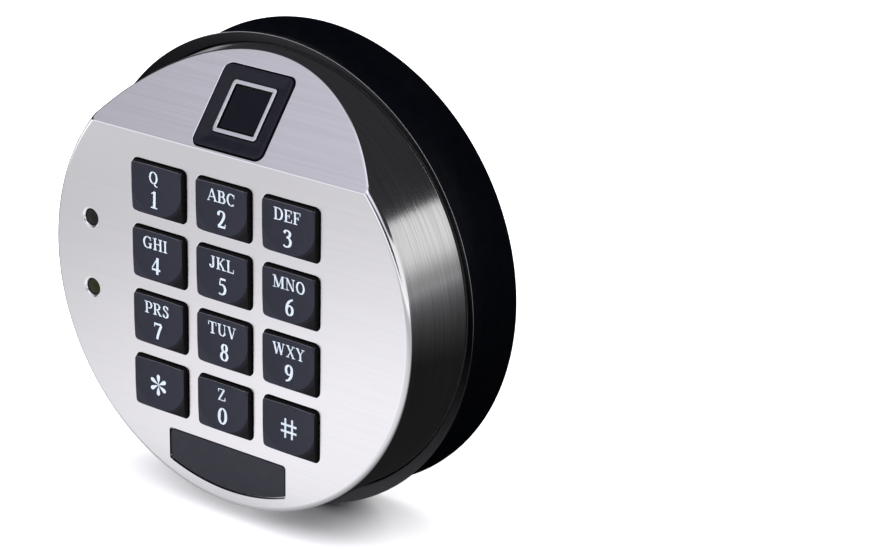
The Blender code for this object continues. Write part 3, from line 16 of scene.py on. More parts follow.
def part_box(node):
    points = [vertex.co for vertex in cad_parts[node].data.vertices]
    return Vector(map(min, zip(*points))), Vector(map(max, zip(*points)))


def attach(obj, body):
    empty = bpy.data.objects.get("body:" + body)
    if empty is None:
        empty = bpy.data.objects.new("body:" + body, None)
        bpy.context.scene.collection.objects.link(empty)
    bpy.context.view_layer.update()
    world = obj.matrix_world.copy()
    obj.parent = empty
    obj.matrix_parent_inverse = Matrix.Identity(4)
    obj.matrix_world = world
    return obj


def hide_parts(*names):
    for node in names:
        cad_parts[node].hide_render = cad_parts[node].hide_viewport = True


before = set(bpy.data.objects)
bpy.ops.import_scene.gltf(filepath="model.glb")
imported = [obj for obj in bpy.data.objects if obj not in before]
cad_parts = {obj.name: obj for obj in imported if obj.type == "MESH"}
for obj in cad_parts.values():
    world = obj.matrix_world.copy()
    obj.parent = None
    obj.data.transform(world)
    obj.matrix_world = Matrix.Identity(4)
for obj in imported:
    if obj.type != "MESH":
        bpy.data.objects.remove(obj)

bl_info = {
    "name": "Entry unit with fingerprint reader",
    "version": (1, 0, 0),
    "blender": (4, 5, 0),
    "location": "3D View > Sidebar > Entry Unit",
    "description": "Builds the looks of a round entry unit around its packed frame",
    "category": "Add Mesh",
}

PANEL = Matrix.Rotation(pi / 2, 4, "X")
# Distance at which points are merged, how far a cutter reaches past what it cuts, and play between parts.
MERGE = 0.00001
OVERRUN = 0.0008
GAP = 0.0003
BODY_SEGMENTS = 256
SMALL_SEGMENTS = 48
BORE_SEGMENTS = 24
CORNER_STEPS = 8
# A rounded edge of radius 1 in steps: how far each lies from the wall, and how far under the top.
LIP_STEPS = 4
LIP_ANGLES = [pi / 2 * step / LIP_STEPS for step in range(LIP_STEPS + 1)]
LIP_CURVE = [(1 - cos(angle), 1 - sin(angle)) for angle in LIP_ANGLES]
KEY_NAMES = ("1", "2", "3", "4", "5", "6", "7", "8", "9", "star", "0", "hash")
KEY_LETTERS = ("Q", "ABC", "DEF", "GHI", "JKL", "MNO", "PRS", "TUV", "WXY", "", "Z", "")
HOUSING_SCREWS = tuple("housing_screw_" + str(index) for index in range(1, 5))
BOARD_SCREWS = tuple("board_screw_" + str(index) for index in range(1, 5))
CLAMP_SCREWS = ("clamp_screw_left", "clamp_screw_right")


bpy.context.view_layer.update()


# Settings


def property_for(key, default, description, subtype=""):
    """A whole number, three numbers, a number of the given subtype, or else a length. Its name is its key's."""
    choices = {"name": key.replace("_", " ").capitalize(), "description": description, "default": default}
    if isinstance(default, int):
        return bpy.props.IntProperty(min=1, **choices)
    if isinstance(default, tuple):
        return bpy.props.FloatVectorProperty(precision=5, subtype=subtype or "COLOR", **choices)
    if subtype:
        return bpy.props.FloatProperty(subtype=subtype, **choices)
    return bpy.props.FloatProperty(min=0.0, precision=5, subtype="DISTANCE", unit="LENGTH", **choices)


HOUSING_ROWS = (
    ("face_height", 0.0309, "Height of the face over the door"),
    ("face_radius", 0.0472, "Radius of the side wall at the face"),
    ("skirt_radius", 0.0480, "Radius of the side wall at its back edge"),
    ("skirt_height", 0.0135, "Height of the side wall's back edge over the door"),
    ("rim", 0.00125, "Radius of the polished edge round the face"),
    ("back_edge", 0.00022, "Radius of the side wall's back edge"),
    ("wall", 0.0020, "Thickness of the metal"),
    ("crease", 0.0297, "Height up the face at which the facet starts"),
    ("tilt", radians(38.5), "Angle of the facet against the face", "ANGLE"),
    ("crease_edge", 0.00030, "Width of the rounding round the facet"),
    ("lip", 0.00028, "Rounding at the openings' edges"),
    ("screw_post", 0.0028, "Radius of the posts that take the housing screws"),
    ("screw_post_foot", 0.0080, "Height of those posts' ends over the door"),
    ("screw_bore", 0.0018, "Radius of the bores in those posts"),
    ("screw_bore_top", 0.0163, "Height of those bores' ends"),
    ("board_post", 0.0025, "Radius of the posts that carry the main board"),
    ("board_post_foot", 0.0253, "Height of those posts' ends over the door"),
    ("board_bore_top", 0.0280, "Height of the ends of those posts' bores"),
    ("clamp_post", 0.0024, "Radius of the posts that carry the reader's clamp"),
    ("clamp_bore_depth", 0.0021, "Depth of the bores in those posts"),
    ("small_bore", 0.0013, "Radius of the bores for the small screws"),
)
KEY_ROWS = (
    ("pitch_across", 0.01745, "Distance between key columns"),
    ("pitch_up", 0.01442, "Distance between key rows"),
    ("pad_drop", 0.0034, "How far the key pad lies under the face's middle"),
    ("hole_width", 0.01445, "Width of a key's opening"),
    ("hole_height", 0.0115, "Height of a key's opening"),
    ("hole_corner", 0.0012, "Corner radius of a key's opening"),
    ("gap", 0.0002, "Play between a key and its opening"),
    ("proud", 0.00100, "How far the dish's rim stands over the face"),
    ("draft", 0.00005, "How much each side leans in on the way up"),
    ("draft_rise", 0.0006, "Height over which the sides lean in"),
    ("bevel", 0.00026, "Width of the bevel round a cap's head"),
    ("bevel_drop", 0.00024, "How far the bevel falls"),
    ("soft", 0.00007, "Rounding of the bevel's two edges"),
    ("dish_radius", 0.00690, "Radius of the finger dish"),
    ("dish_depth", 0.00030, "Depth of the finger dish"),
    ("dish_rise", 0.00160, "How far the dish sits over the key's middle"),
    ("cheek_slope", radians(4), "Slope of the head where it leaves the dish", "ANGLE"),
    ("cheek_bend", 0.0600, "Radius at which the head curves away outside the dish"),
    ("crisp", 0.00007, "Half width of the line between dish and head"),
    ("flange_lip", 0.0008, "How far a cap's flange reaches behind the face"),
    ("flange_thickness", 0.0010, "Thickness of a cap's flange"),
    ("crown_wall", 0.0013, "Thickness of a cap's head"),
    ("side_wall", 0.0013, "Thickness of a cap's sides"),
    ("plunger_radius", 0.0018, "Radius of the stub that presses the mat"),
    ("plunger_foot", 0.0288, "Height of the stub's end over the door"),
    # Sets how quickly the painted shade on the lower right cheek deepens away from the dish.
    ("fade", 0.0030, "Distance from the dish over which its finish fades out"),
)
LEGEND_ROWS = (
    ("letter_height", 0.0026, "Cap height of the letters"),
    ("letter_rise", 0.00274, "How far the letters' middle is over the key's middle"),
    ("digit_height", 0.0036, "Height of the digits"),
    ("digit_drop", 0.0020, "How far the digits' middle is under the key's middle"),
    ("spread", 1.06, "Width of the letters against their height", "NONE"),
    ("hash_height", 0.0043, "Height of the hash"),
    ("hash_rise", 0.00012, "How far the hash's middle is over the key's middle"),
    ("star_reach", 0.00238, "Reach of the star's petals from its middle"),
    ("star_rise", 0.00010, "How far the star's middle is over the key's middle"),
    ("petal_width", 0.00096, "Greatest width of a petal"),
    ("petals", 6, "Number of petals in the star"),
    ("print_height", 0.00003, "Thickness of the printed ink"),
    ("grid", 0.0003, "Distance of the points that let the ink follow the head"),
)
READER_ROWS = (
    ("width", 0.0179, "Width of the reader's bezel"),
    ("height", 0.0181, "Height of the reader's bezel"),
    ("corner", 0.0016, "Corner radius of the bezel"),
    ("offset", 0.0008, "Distance from the crease to the bezel"),
    ("proud", 0.0003, "How far the bezel's rim stands over the facet"),
    ("rim", 0.0008, "Width of the bezel's flat rim"),
    ("dish_depth", 0.0007, "Depth of the bezel's floor under its rim"),
    ("dish_margin", 0.0006, "Width of the floor round the sensor"),
    ("edge", 0.0002, "Rounding of the bezel's edges"),
    ("flange_lip", 0.0008, "How far the bezel's flange reaches behind the metal"),
    ("flange_top_lip", 0.0015, "The same over the bezel"),
    ("flange_thickness", 0.0012, "Thickness of the flange"),
    ("window_wall", 0.0011, "Thickness of the floor round the sensor"),
    ("frame_width", 0.0114, "Width of the sensor's metal frame"),
    ("frame_height", 0.0117, "Height of the sensor's metal frame"),
    ("frame_corner", 0.0007, "Corner radius of the frame"),
    ("seam", 0.00008, "Width of the joint between sensor and bezel"),
    ("band", 0.0009, "Width of the frame's metal"),
    ("soft", 0.00014, "Rounding of the frame's and the pad's edges"),
    ("pad_corner", 0.0003, "Corner radius of the sensing pad"),
    ("rise", 0.0003, "How far the sensor sits over the bezel's middle"),
    ("pad_sink", 0.00025, "How far the sensing pad lies under the frame"),
    ("board_width", 0.0140, "Width of the room for the sensor's board"),
    ("board_height", 0.0150, "Height of the room for the sensor's board"),
    ("board_corner", 0.0002, "Corner radius of that room"),
    ("clamp_thickness", 0.0010, "Thickness of the bar behind the reader"),
    ("clamp_across", 0.0125, "Distance of each of that bar's screws from the middle"),
    ("clamp_screw", 0.0034, "Length of those screws under the head"),
)
LAMP_ROWS = (
    ("left", 0.0369, "How far the lamps are to the left of the face's middle"),
    ("up", 0.0078, "How far each lamp is over or under the face's middle"),
    ("hole", 0.0018, "Radius of the lamp holes"),
    ("hole_lip", 0.00062, "Rounding of the lamp holes' edges"),
    ("sink", 0.0004, "How far the lenses lie under the face"),
    ("lens_radius", 0.0017, "Radius of a lens"),
    ("lens_dome", 0.0060, "Radius of a lens's dome"),
    ("head_height", 0.0014, "Height of the part of a lens that fills the hole"),
    ("step", 0.0002, "Width and height of the step under it"),
    ("flange_radius", 0.0019, "Radius of a lamp's foot"),
    ("flange_height", 0.0008, "Height of a lamp's foot"),
)
INLAY_ROWS = (
    ("half_width", 0.0155, "Half the inlay's width"),
    ("top_drop", 0.0344, "How far the inlay's top is under the face's middle"),
    ("radius", 0.04385, "Radius of the inlay's bottom edge"),
    ("corner", 0.0008, "Corner radius of the inlay"),
    ("recess", 0.0010, "Depth of the inlay's recess"),
    ("recess_lip", 0.00016, "Rounding of the recess's edge"),
    ("sink", 0.0002, "How far the inlay lies under the face"),
    ("thickness", 0.0005, "Thickness of the inlay"),
    ("edge", 0.00012, "Rounding of the inlay's edge"),
)
BASE_ROWS = (
    ("edge_radius", 0.0508, "Radius of the shoulder's outer edge"),
    ("edge_height", 0.0150, "Height of the shoulder's outer edge"),
    ("edge_round", 0.0002, "Rounding of the shoulder's edge"),
    ("inner_radius", 0.0484, "Radius at which the shoulder starts"),
    ("inner_height", 0.0134, "Height at which the shoulder starts"),
    ("rim_radius", 0.0509, "Radius of the rear rim"),
    ("rim_height", 0.0008, "Height of the rear rim"),
    ("chamfer", 0.0003, "Chamfer at the door"),
    ("waist_depth", 0.0018, "How far the side is drawn in"),
    ("waist_steps", 24, "Steps of the drawn-in side"),
    ("spigot_radius", 0.0453, "Radius of the collar inside the metal"),
    ("spigot_top", 0.0179, "Height of the collar"),
    ("spigot_wall", 0.0018, "Thickness of the collar"),
    ("groove", 0.0121, "Height of the seal's groove"),
    ("shelf", 0.0106, "Height of the shelf's underside"),
    ("wall_radius", 0.0462, "Inner radius of the base's wall"),
    ("plate_radius", 0.0478, "Radius of the back plate's recess"),
    ("plate_seat", 0.0021, "Depth of the back plate's recess"),
    ("notch_width", 0.0290, "Width of the notch behind the reader"),
    ("notch_reach", 0.0007, "How far the notch reaches past the collar"),
    ("notch_corner", 0.0003, "Corner radius of the notch"),
    ("notch_floor", 0.0143, "Height of that notch's floor"),
    ("seal_round", 0.0002, "Rounding of the seal"),
)
PLATE_ROWS = (
    ("radius", 0.0475, "Radius of the back plate"),
    ("thickness", 0.0018, "Thickness of the back plate"),
    ("chamfer", 0.0003, "Chamfer round the plate"),
    ("boss_radius", 0.0035, "Radius of the screw bosses"),
    ("boss_top", 0.0077, "Height of the screw bosses"),
    ("bay_wall", 0.0012, "Thickness of the battery bay's walls"),
    ("bay_top", 0.0076, "Height of the battery bay's walls"),
    ("mount_radius", 0.00225, "Radius of the two mounting holes"),
    ("mount_across", 0.02065, "Distance of each mounting hole from the middle"),
    ("cable_radius", 0.0050, "Radius of the cable hole"),
    ("head_sink", 0.0006, "How far the screw heads lie under the back"),
    ("bush_bore", 0.0035, "Radius of the cable bush's bore"),
    ("bush_flange", 0.0063, "Radius of the cable bush's flange"),
    ("bush_flange_height", 0.0012, "Height of that flange"),
    ("bush_round", 0.00025, "Rounding of the bush"),
)
FASTENER_ROWS = (
    ("housing_shank", 0.0015, "Radius of the housing screws"),
    ("housing_head", 0.0027, "Radius of the housing screws' heads"),
    ("housing_head_height", 0.0017, "Height of the housing screws' heads"),
    ("housing_length", 0.0137, "Length of the housing screws under the head"),
    ("small_shank", 0.0010, "Radius of the small screws"),
    ("small_head", 0.0019, "Radius of the small screws' heads"),
    ("small_head_height", 0.0013, "Height of the small screws' heads"),
    ("thread", 0.0006, "Pitch of the threads"),
    ("seed", 7, "Seed of the turn of each screw"),
)
INSIDE_ROWS = (
    ("leads_per_side", 11, "Number of legs on each side of the chip"),
    ("lead_size", 0.00022, "Thickness of a chip's leg"),
    ("sounder_port_depth", 0.0008, "Depth of the sounder's opening"),
    ("sounder_round", 0.0004, "Rounding of the sounder"),
    ("lead_bend", 0.0014, "Radius of the battery leads' bends"),
    ("lead_drop", 0.0005, "Height of the battery leads' run over their lower end"),
)
# Each finish that is plain moulded or printed stuff: its dark and its light tone, roughness, size of the grain,
# depth of the grain, and the shader's other values.
PLASTICS = {
    "legend_print": ((0.370, 0.420, 0.478), (0.420, 0.470, 0.528), 0.55, 9000.0, 0.000002, {}),
    "bezel_black": (
        (0.0040, 0.0040, 0.0078), (0.0056, 0.0056, 0.0102), 0.42, 5200.0, 0.000003,
        {"Specular IOR Level": 0.22},
    ),
    "inlay_black": (
        (0.0085, 0.0085, 0.0145), (0.0120, 0.0120, 0.0190), 0.50, 7000.0, 0.000006,
        {"Specular IOR Level": 0.3},
    ),
    "black_abs": (
        (0.0007, 0.0009, 0.0016), (0.0012, 0.0014, 0.0023), 0.42, 3000.0, 0.000002,
        {"Specular IOR Level": 0.01},
    ),
    "seal_rubber": ((0.008, 0.008, 0.008), (0.016, 0.016, 0.015), 0.75, 2600.0, 0.000008, {}),
    "sensor_coating": (
        (0.0016, 0.0017, 0.0038), (0.0024, 0.0025, 0.0052), 0.30, 9000.0, 0.0000008,
        {"Specular IOR Level": 0.12},
    ),
    "silicone": ((0.20, 0.21, 0.22), (0.25, 0.26, 0.27), 0.55, 3000.0, 0.000005, {"Subsurface Weight": 0.1}),
    "chip_black": ((0.012, 0.012, 0.012), (0.022, 0.022, 0.022), 0.45, 6000.0, 0.000006, {}),
    "socket_white": ((0.72, 0.70, 0.63), (0.78, 0.77, 0.71), 0.40, 3500.0, 0.000003, {}),
    "foam": ((0.03, 0.03, 0.03), (0.07, 0.07, 0.07), 0.90, 1800.0, 0.00006, {}),
    "sleeve_red": ((0.34, 0.012, 0.010), (0.42, 0.018, 0.014), 0.38, 2500.0, 0.000003, {}),
    "sleeve_black": ((0.010, 0.010, 0.010), (0.020, 0.020, 0.020), 0.38, 2500.0, 0.000003, {}),
}
PLASTIC_ROWS = tuple(
    (name + suffix, PLASTICS[name][part], note + name.replace("_", " "))
    for name in PLASTICS
    for part, suffix, note in ((0, "_dark", "Darker tone of the "), (1, "_light", "Lighter tone of the "))
)
FINISH_ROWS = PLASTIC_ROWS + (
    ("metal_bright", (0.80, 0.79, 0.81), "Brushed metal between the scratches"),
    ("metal_dull", (0.66, 0.645, 0.65), "Brushed metal in the scratches"),
    ("trim_bright", (0.80, 0.80, 0.83), "The sensor frame's metal"),
    ("trim_dull", (0.68, 0.68, 0.71), "The sensor frame's metal in its scratches"),
    ("steel_bright", (0.60, 0.60, 0.62), "The screws' metal"),
    ("steel_dull", (0.46, 0.46, 0.48), "The screws' metal in its turning marks"),
    # The outer tones are those of a key's sides; on the right and top bevels and the lower right cheek they are
    # painted shade.
    ("key_outer_dark", (0.0022, 0.0020, 0.0022), "Darker tone of a key's sides"),
    ("key_outer_light", (0.0034, 0.0031, 0.0032), "Lighter tone of a key's sides"),
    ("key_dish_dark", (0.0085, 0.0094, 0.0170), "Darker tone of a key's dish"),
    ("key_dish_light", (0.0105, 0.0114, 0.0200), "Lighter tone of a key's dish"),
    # The edge tone is a painted highlight along a key's upper edge.
    ("key_edge", (0.11, 0.11, 0.13), "A key's worn upper edge"),
    # The rubbed tone is a painted highlight on the base's shoulder edge and a painted reflection on its shoulder.
    ("base_worn", (0.16, 0.16, 0.17), "The base's black where it is rubbed"),
    ("lamp_dark", (0.0080, 0.0082, 0.0070), "The upper lamp's lens"),
    ("lamp_green", (0.0150, 0.0180, 0.0040), "The lower lamp's lens"),
    ("mask_dark", (0.008, 0.060, 0.022), "Darker tone of the boards' green"),
    ("mask_light", (0.012, 0.075, 0.028), "Lighter tone of the boards' green"),
    ("track", (0.030, 0.150, 0.050), "Copper under the boards' green"),
    ("film_light", (0.30, 0.13, 0.020), "The flat cable's film"),
    ("film_dark", (0.26, 0.11, 0.018), "The flat cable's film under dust"),
    ("film_track", (0.48, 0.20, 0.06), "Copper in the flat cable"),
    ("cell_dark", (0.012, 0.012, 0.014), "Darker tone of the battery's body"),
    ("cell_light", (0.022, 0.022, 0.024), "Lighter tone of the battery's body"),
    ("cell_band", (0.42, 0.20, 0.09), "The battery's band"),
    ("cell_rim", (0.50, 0.50, 0.52), "The battery's rim"),
    ("floor", (0.88, 0.88, 0.89), "The floor's paper"),
)
STAGE_ROWS = (
    ("lens", 118.45, "Focal length in millimetres", "NONE"),
    ("camera", (0.3602, -0.4462, 0.2185), "Place of the camera", "TRANSLATION"),
    ("camera_right", (0.8007, 0.5987, 0.0191), "Direction of the picture's right", "DIRECTION"),
    ("camera_forward", (-0.5525, 0.7504, -0.3628), "Direction of view", "DIRECTION"),
    ("floor_size", 6.0, "Side of the floor"),
    ("floor_drop", 0.0002, "How far the floor lies under the rear rim"),
)
GROUPS = {
    "housing": ("Front housing", HOUSING_ROWS),
    "keys": ("Key caps", KEY_ROWS),
    "legends": ("Printed signs", LEGEND_ROWS),
    "reader": ("Fingerprint reader", READER_ROWS),
    "lamps": ("Lamps", LAMP_ROWS),
    "inlay": ("Inlay", INLAY_ROWS),
    "base": ("Base ring", BASE_ROWS),
    "plate": ("Back plate", PLATE_ROWS),
    "fasteners": ("Screws", FASTENER_ROWS),
    "inside": ("Boards and leads", INSIDE_ROWS),
    "finishes": ("Colours", FINISH_ROWS),
    "stage": ("Floor, light and camera", STAGE_ROWS),
}
# One group of properties for each of these, and one that holds them all.
PROPERTY_GROUPS = []
POINTERS = {}
for key, (note, rows) in GROUPS.items():
    fields = {row[0]: property_for(*row) for row in rows}
    choices = {"__doc__": note, "__annotations__": fields}
    PROPERTY_GROUPS.append(type(key.capitalize() + "Settings", (bpy.types.PropertyGroup,), choices))
    POINTERS[key] = bpy.props.PointerProperty(type=PROPERTY_GROUPS[-1], name=key.capitalize(), description=note)


class EntryUnitSettings(bpy.types.PropertyGroup):
    """All sizes and colours of the entry unit."""

    __annotations__ = POINTERS


def settings():
    return bpy.context.scene.entry_unit


# Outlines and meshes


def level(outline, height, centre=(0.0, 0.0)):
    return [(x + centre[0], y + centre[1], height) for x, y in outline]


def arc(centre, radius, start, end, steps):
    points = []
    for step in range(steps + 1):
        turn = start + (end - start) * step / steps
        points.append((centre[0] + radius * cos(turn), centre[1] + radius * sin(turn)))
    return points


def softened(points, radius, closed=True, steps=CORNER_STEPS, least=radians(9)):
    """Turns the corners that bend by the least angle or more into arcs."""
    made = []
    for index, corner in enumerate(points):
        here = Vector(corner)
        before = Vector(points[index - 1]) - here
        after = Vector(points[(index + 1) % len(points)]) - here
        loose_end = not closed and index in (0, len(points) - 1)
        turn = 0.0 if loose_end else pi - before.angle(after)
        if turn < least:
            made.append(tuple(here))
            continue
        reach = min(radius * tan(turn / 2), before.length * 0.45, after.length * 0.45)
        radius_here = reach / tan(turn / 2)
        before.normalize()
        after.normalize()
        centre = here + (before + after).normalized() * radius_here / cos(turn / 2)
        for step in range(steps + 1):
            spot = (here + before * reach).lerp(here + after * reach, step / steps)
            made.append(tuple(centre + (spot - centre).normalized() * radius_here))
    return made


def rounded_rectangle(width, height, radius, steps=CORNER_STEPS):
    points = []
    for quarter, (side_x, side_y) in enumerate(((1, 1), (-1, 1), (-1, -1), (1, -1))):
        centre = (side_x * (width / 2 - radius), side_y * (height / 2 - radius))
        start = quarter * pi / 2
        points += arc(centre, radius, start, start + pi / 2, steps)
    return points


@contextmanager
def edited(mesh):
    """Opens a mesh for work on its points, edges and faces, and writes the result back."""
    bm = bmesh.new()
    bm.from_mesh(mesh)
    yield bm
    bm.to_mesh(mesh)
    bm.free()


def mesh_from(name, bm):
    bmesh.ops.remove_doubles(bm, verts=bm.verts, dist=MERGE)
    bmesh.ops.dissolve_degenerate(bm, edges=bm.edges, dist=MERGE / 2)
    bmesh.ops.recalc_face_normals(bm, faces=bm.faces)
    mesh = bpy.data.meshes.new(name)
    bm.to_mesh(mesh)
    bm.free()
    return mesh


def skinned(name, rings, closed=False):
    """A mesh over rings of as many points each; its ends are capped, or joined to each other."""
    bm = bmesh.new()
    rows = [[bm.verts.new(point) for point in ring] for ring in rings]
    pairs = list(zip(rows, rows[1:]))
    if closed:
        pairs.append((rows[-1], rows[0]))
    else:
        bm.faces.new(rows[0][::-1])
        bm.faces.new(rows[-1])
    for low, high in pairs:
        for index in range(len(low)):
            after = (index + 1) % len(low)
            bm.faces.new((low[index], low[after], high[after], high[index]))
    return mesh_from(name, bm)


def circle(radius, height, segments):
    turns = (2 * pi * index / segments for index in range(segments))
    return [(radius * cos(turn), radius * sin(turn), height) for turn in turns]


def lathed(name, profile, segments):
    """A profile of radius and height turned about the z axis."""
    return skinned(name, [circle(radius, height, segments) for radius, height in profile])


def cylinder(radius, low, high, segments=SMALL_SEGMENTS):
    return lathed("cylinder", [(0.0, low), (radius, low), (radius, high), (0.0, high)], segments)


def rounded_top(outline, top, edge, centre=(0.0, 0.0)):
    """Rings of a rounded upper edge. The outline takes a margin that grows on the way up."""
    return [level(outline(edge * across), top - edge * down, centre) for across, down in LIP_CURVE]


def flared(outline, low, high, lip, centre=(0.0, 0.0)):
    """Rings of an opening with a rounded edge at its upper end. The outline takes a margin that widens it."""
    foot, end = level(outline(0.0), low, centre), level(outline(lip), high + OVERRUN, centre)
    return [foot, *rounded_top(outline, high, lip, centre), end]


def narrowing(width, height, corner, corner_change=0.0):
    """A rounded rectangle that takes a margin which narrows it."""

    def outline(margin):
        return rounded_rectangle(width - 2 * margin, height - 2 * margin, corner - margin * corner_change)

    return outline


def repeated(mesh, places):
    """The same mesh at each place, as one mesh."""
    bm = bmesh.new()
    for place in places:
        copy = mesh.copy()
        copy.transform(shift(place))
        bm.from_mesh(copy)
        bpy.data.meshes.remove(copy)
    bm.to_mesh(mesh)
    bm.free()
    return mesh


def merged(name, meshes):
    bm = bmesh.new()
    for mesh in meshes:
        bm.from_mesh(mesh)
        bpy.data.meshes.remove(mesh)
    mesh = bpy.data.meshes.new(name)
    bm.to_mesh(mesh)
    bm.free()
    return mesh


def drawn_mesh(name, points, edges=(), faces=()):
    mesh = bpy.data.meshes.new(name)
    mesh.from_pydata(points, edges, faces)
    return mesh


def shift(place):
    return Matrix.Translation((place[0], place[1], 0.0))


def moved(mesh, matrix):
    mesh.transform(matrix)
    return mesh


def marked(mesh, name, domain, values):
    """Stores numbers on a mesh for its material or tree to read."""
    mesh.attributes.new(name, "FLOAT", domain).data.foreach_set("value", values)


def scene_object(name, mesh):
    obj = bpy.data.objects.new(name, mesh)
    bpy.context.scene.collection.objects.link(obj)
    return obj


def discard(obj):
    mesh = obj.data
    bpy.data.objects.remove(obj, do_unlink=True)
    bpy.data.meshes.remove(mesh)


def settled(obj):
    """Turns what the modifiers give into the object's own mesh."""
    bpy.context.view_layer.update()
    graph = bpy.context.evaluated_depsgraph_get()
    mesh = bpy.data.meshes.new_from_object(obj.evaluated_get(graph), preserve_all_data_layers=True, depsgraph=graph)
    old = obj.data
    obj.modifiers.clear()
    obj.data = mesh
    mesh.name = obj.name
    if old.users == 0:
        bpy.data.meshes.remove(old)
    return obj


def combined(obj, mesh, operation):
    """Cuts the mesh off the object, or joins it on."""
    other = scene_object("other", mesh)
    change = obj.modifiers.new("change", "BOOLEAN")
    change.operation = operation
    change.solver = "EXACT"
    change.object = other
    settled(obj)
    discard(other)


def cleaned(obj):
    """Merges what a cut leaves: doubled points and faces that lie in one plane."""
    with edited(obj.data) as bm:
        bmesh.ops.remove_doubles(bm, verts=bm.verts, dist=MERGE)
        bmesh.ops.dissolve_limit(bm, angle_limit=radians(0.1), verts=bm.verts, edges=bm.edges)


def shaded(obj, sharp=radians(40)):
    """Smooth shading that keeps flat faces flat."""
    obj.data.shade_smooth()
    obj.data.set_sharp_from_angle(angle=sharp)
    weigh = obj.modifiers.new("weigh", "WEIGHTED_NORMAL")
    weigh.keep_sharp = True
    return settled(obj)


def piece(obj, surface, nodes=(), place=PANEL, body="case", plain=False):
    """Puts a finished piece in its place, and gives it its material, CAD body, nodes and the slot of that name.

    A plain piece wears the frame's own even material of that name.
    """
    moved(obj.data, place)
    obj.data.materials.clear()
    obj.data.materials.append(bpy.data.materials[surface] if plain else finish(surface))
    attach(obj, body)
    if nodes:
        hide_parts(*nodes)
    return obj


def leaning():
    """From the panel to the facet, at the crease."""
    housing = settings().housing
    lean = Matrix.Rotation(-housing.tilt, 4, "X")
    return Matrix.Translation((0.0, housing.crease, housing.face_height)) @ lean


def key_places():
    keys = settings().keys
    places = []
    for row in range(4):
        for column in range(3):
            places.append(((column - 1) * keys.pitch_across, (1.5 - row) * keys.pitch_up - keys.pad_drop))
    return places


def lamp_places():
    lamps = settings().lamps
    return ((-lamps.left, lamps.up), (-lamps.left, -lamps.up))


def clamp_places():
    reader = settings().reader
    middle = reader.offset + reader.height / 2
    return ((-reader.clamp_across, middle), (reader.clamp_across, middle))


def flat_box(name):
    """The box of a CAD node, as a piece lying on its back."""
    low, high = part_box(name)
    return (low[0], low[2], -high[1]), (high[0], high[2], -low[1])


def node_middle(name):
    """The middle of a CAD node across and up the face."""
    low, high = flat_box(name)
    return (low[0] + high[0]) / 2, (low[1] + high[1]) / 2


def node_places(names):
    return [node_middle(name) for name in names]


# Shader nodes


def wired(tree, made, inputs):
    """Gives each input a value or links it to a socket."""
    for key, value in inputs.items():
        if isinstance(value, bpy.types.NodeSocket):
            tree.links.new(value, made.inputs[key])
        else:
            made.inputs[key].default_value = value
    return made


def node(tree, kind, inputs=None, **choices):
    made = tree.nodes.new(kind)
    for name, value in choices.items():
        setattr(made, name, value)
    return wired(tree, made, inputs or {})


def maths(tree, operation, first, second=0.0, clamp=False):
    return node(tree, "ShaderNodeMath", {0: first, 1: second}, operation=operation, use_clamp=clamp).outputs[0]


def times(tree, first, second):
    return maths(tree, "MULTIPLY", first, second)


def plus(tree, first, second, factor=None):
    """Adds the second, times the factor where one is given."""
    return maths(tree, "ADD", first, second if factor is None else times(tree, second, factor))


def vector_maths(tree, operation, first, second, output=0):
    return node(tree, "ShaderNodeVectorMath", {0: first, 1: second}, operation=operation).outputs[output]


def mapped(tree, value, low, high, new_low, new_high):
    made = node(tree, "ShaderNodeMapRange", {0: value, 1: low, 2: high, 3: new_low, 4: new_high})
    return made.outputs[0]


def between(tree, factor, first, second):
    """A number between two."""
    return node(tree, "ShaderNodeMix", {0: factor, 2: first, 3: second}).outputs[0]


def mixed(tree, factor, first, second):
    """A colour between two. A name stands for a colour of the settings."""
    inputs = {0: factor}
    for key, value in ((6, first), (7, second)):
        inputs[key] = value if isinstance(value, bpy.types.NodeSocket) else colour(value)
    return node(tree, "ShaderNodeMix", inputs, data_type="RGBA").outputs[2]


def colour(tone):
    """The colour with its alpha, of three numbers or of the name of a colour of the settings."""
    return (*(getattr(settings().finishes, tone) if isinstance(tone, str) else tone), 1.0)


def noise(tree, vector, scale, detail, rough):
    made = node(tree, "ShaderNodeTexNoise", {"Vector": vector, "Scale": scale, "Detail": detail, "Roughness": rough})
    return made.outputs["Fac"]


def attribute(tree, name):
    return node(tree, "ShaderNodeAttribute", attribute_name=name).outputs["Fac"]


def split(tree, vector):
    return node(tree, "ShaderNodeSeparateXYZ", {0: vector}).outputs


def group_tree(name, inputs, outputs):
    """A shader group with its sockets; returns the tree and its inputs."""
    tree = bpy.data.node_groups.new(name, "ShaderNodeTree")
    for label, kind, value in inputs:
        socket = tree.interface.new_socket(label, in_out="INPUT", socket_type=kind)
        if value is not None:
            socket.default_value = value
    for label in outputs:
        tree.interface.new_socket(label, in_out="OUTPUT", socket_type="NodeSocketFloat")
    return tree, tree.nodes.new("NodeGroupInput").outputs


def brush_lines_group():
    """Fine scratches that run one way: heights, and a slower streak for the colour."""
    inputs = [("Position", "NodeSocketVector", None), ("Stretch", "NodeSocketVector", (1.0, 1.0, 1.0))]
    tree, given = group_tree("brush_lines", inputs, ["Height", "Streak"])
    along = vector_maths(tree, "MULTIPLY", given["Position"], given["Stretch"])
    fine = noise(tree, along, 1.0, 3.0, 0.7)
    broad = noise(tree, vector_maths(tree, "MULTIPLY", along, (0.42, 0.42, 0.42)), 1.0, 2.0, 0.5)
    height = plus(tree, times(tree, fine, 0.45), broad, 0.55)
    node(tree, "NodeGroupOutput", {0: height, 1: mapped(tree, broad, 0.35, 0.65, 0.0, 1.0)})
    return tree


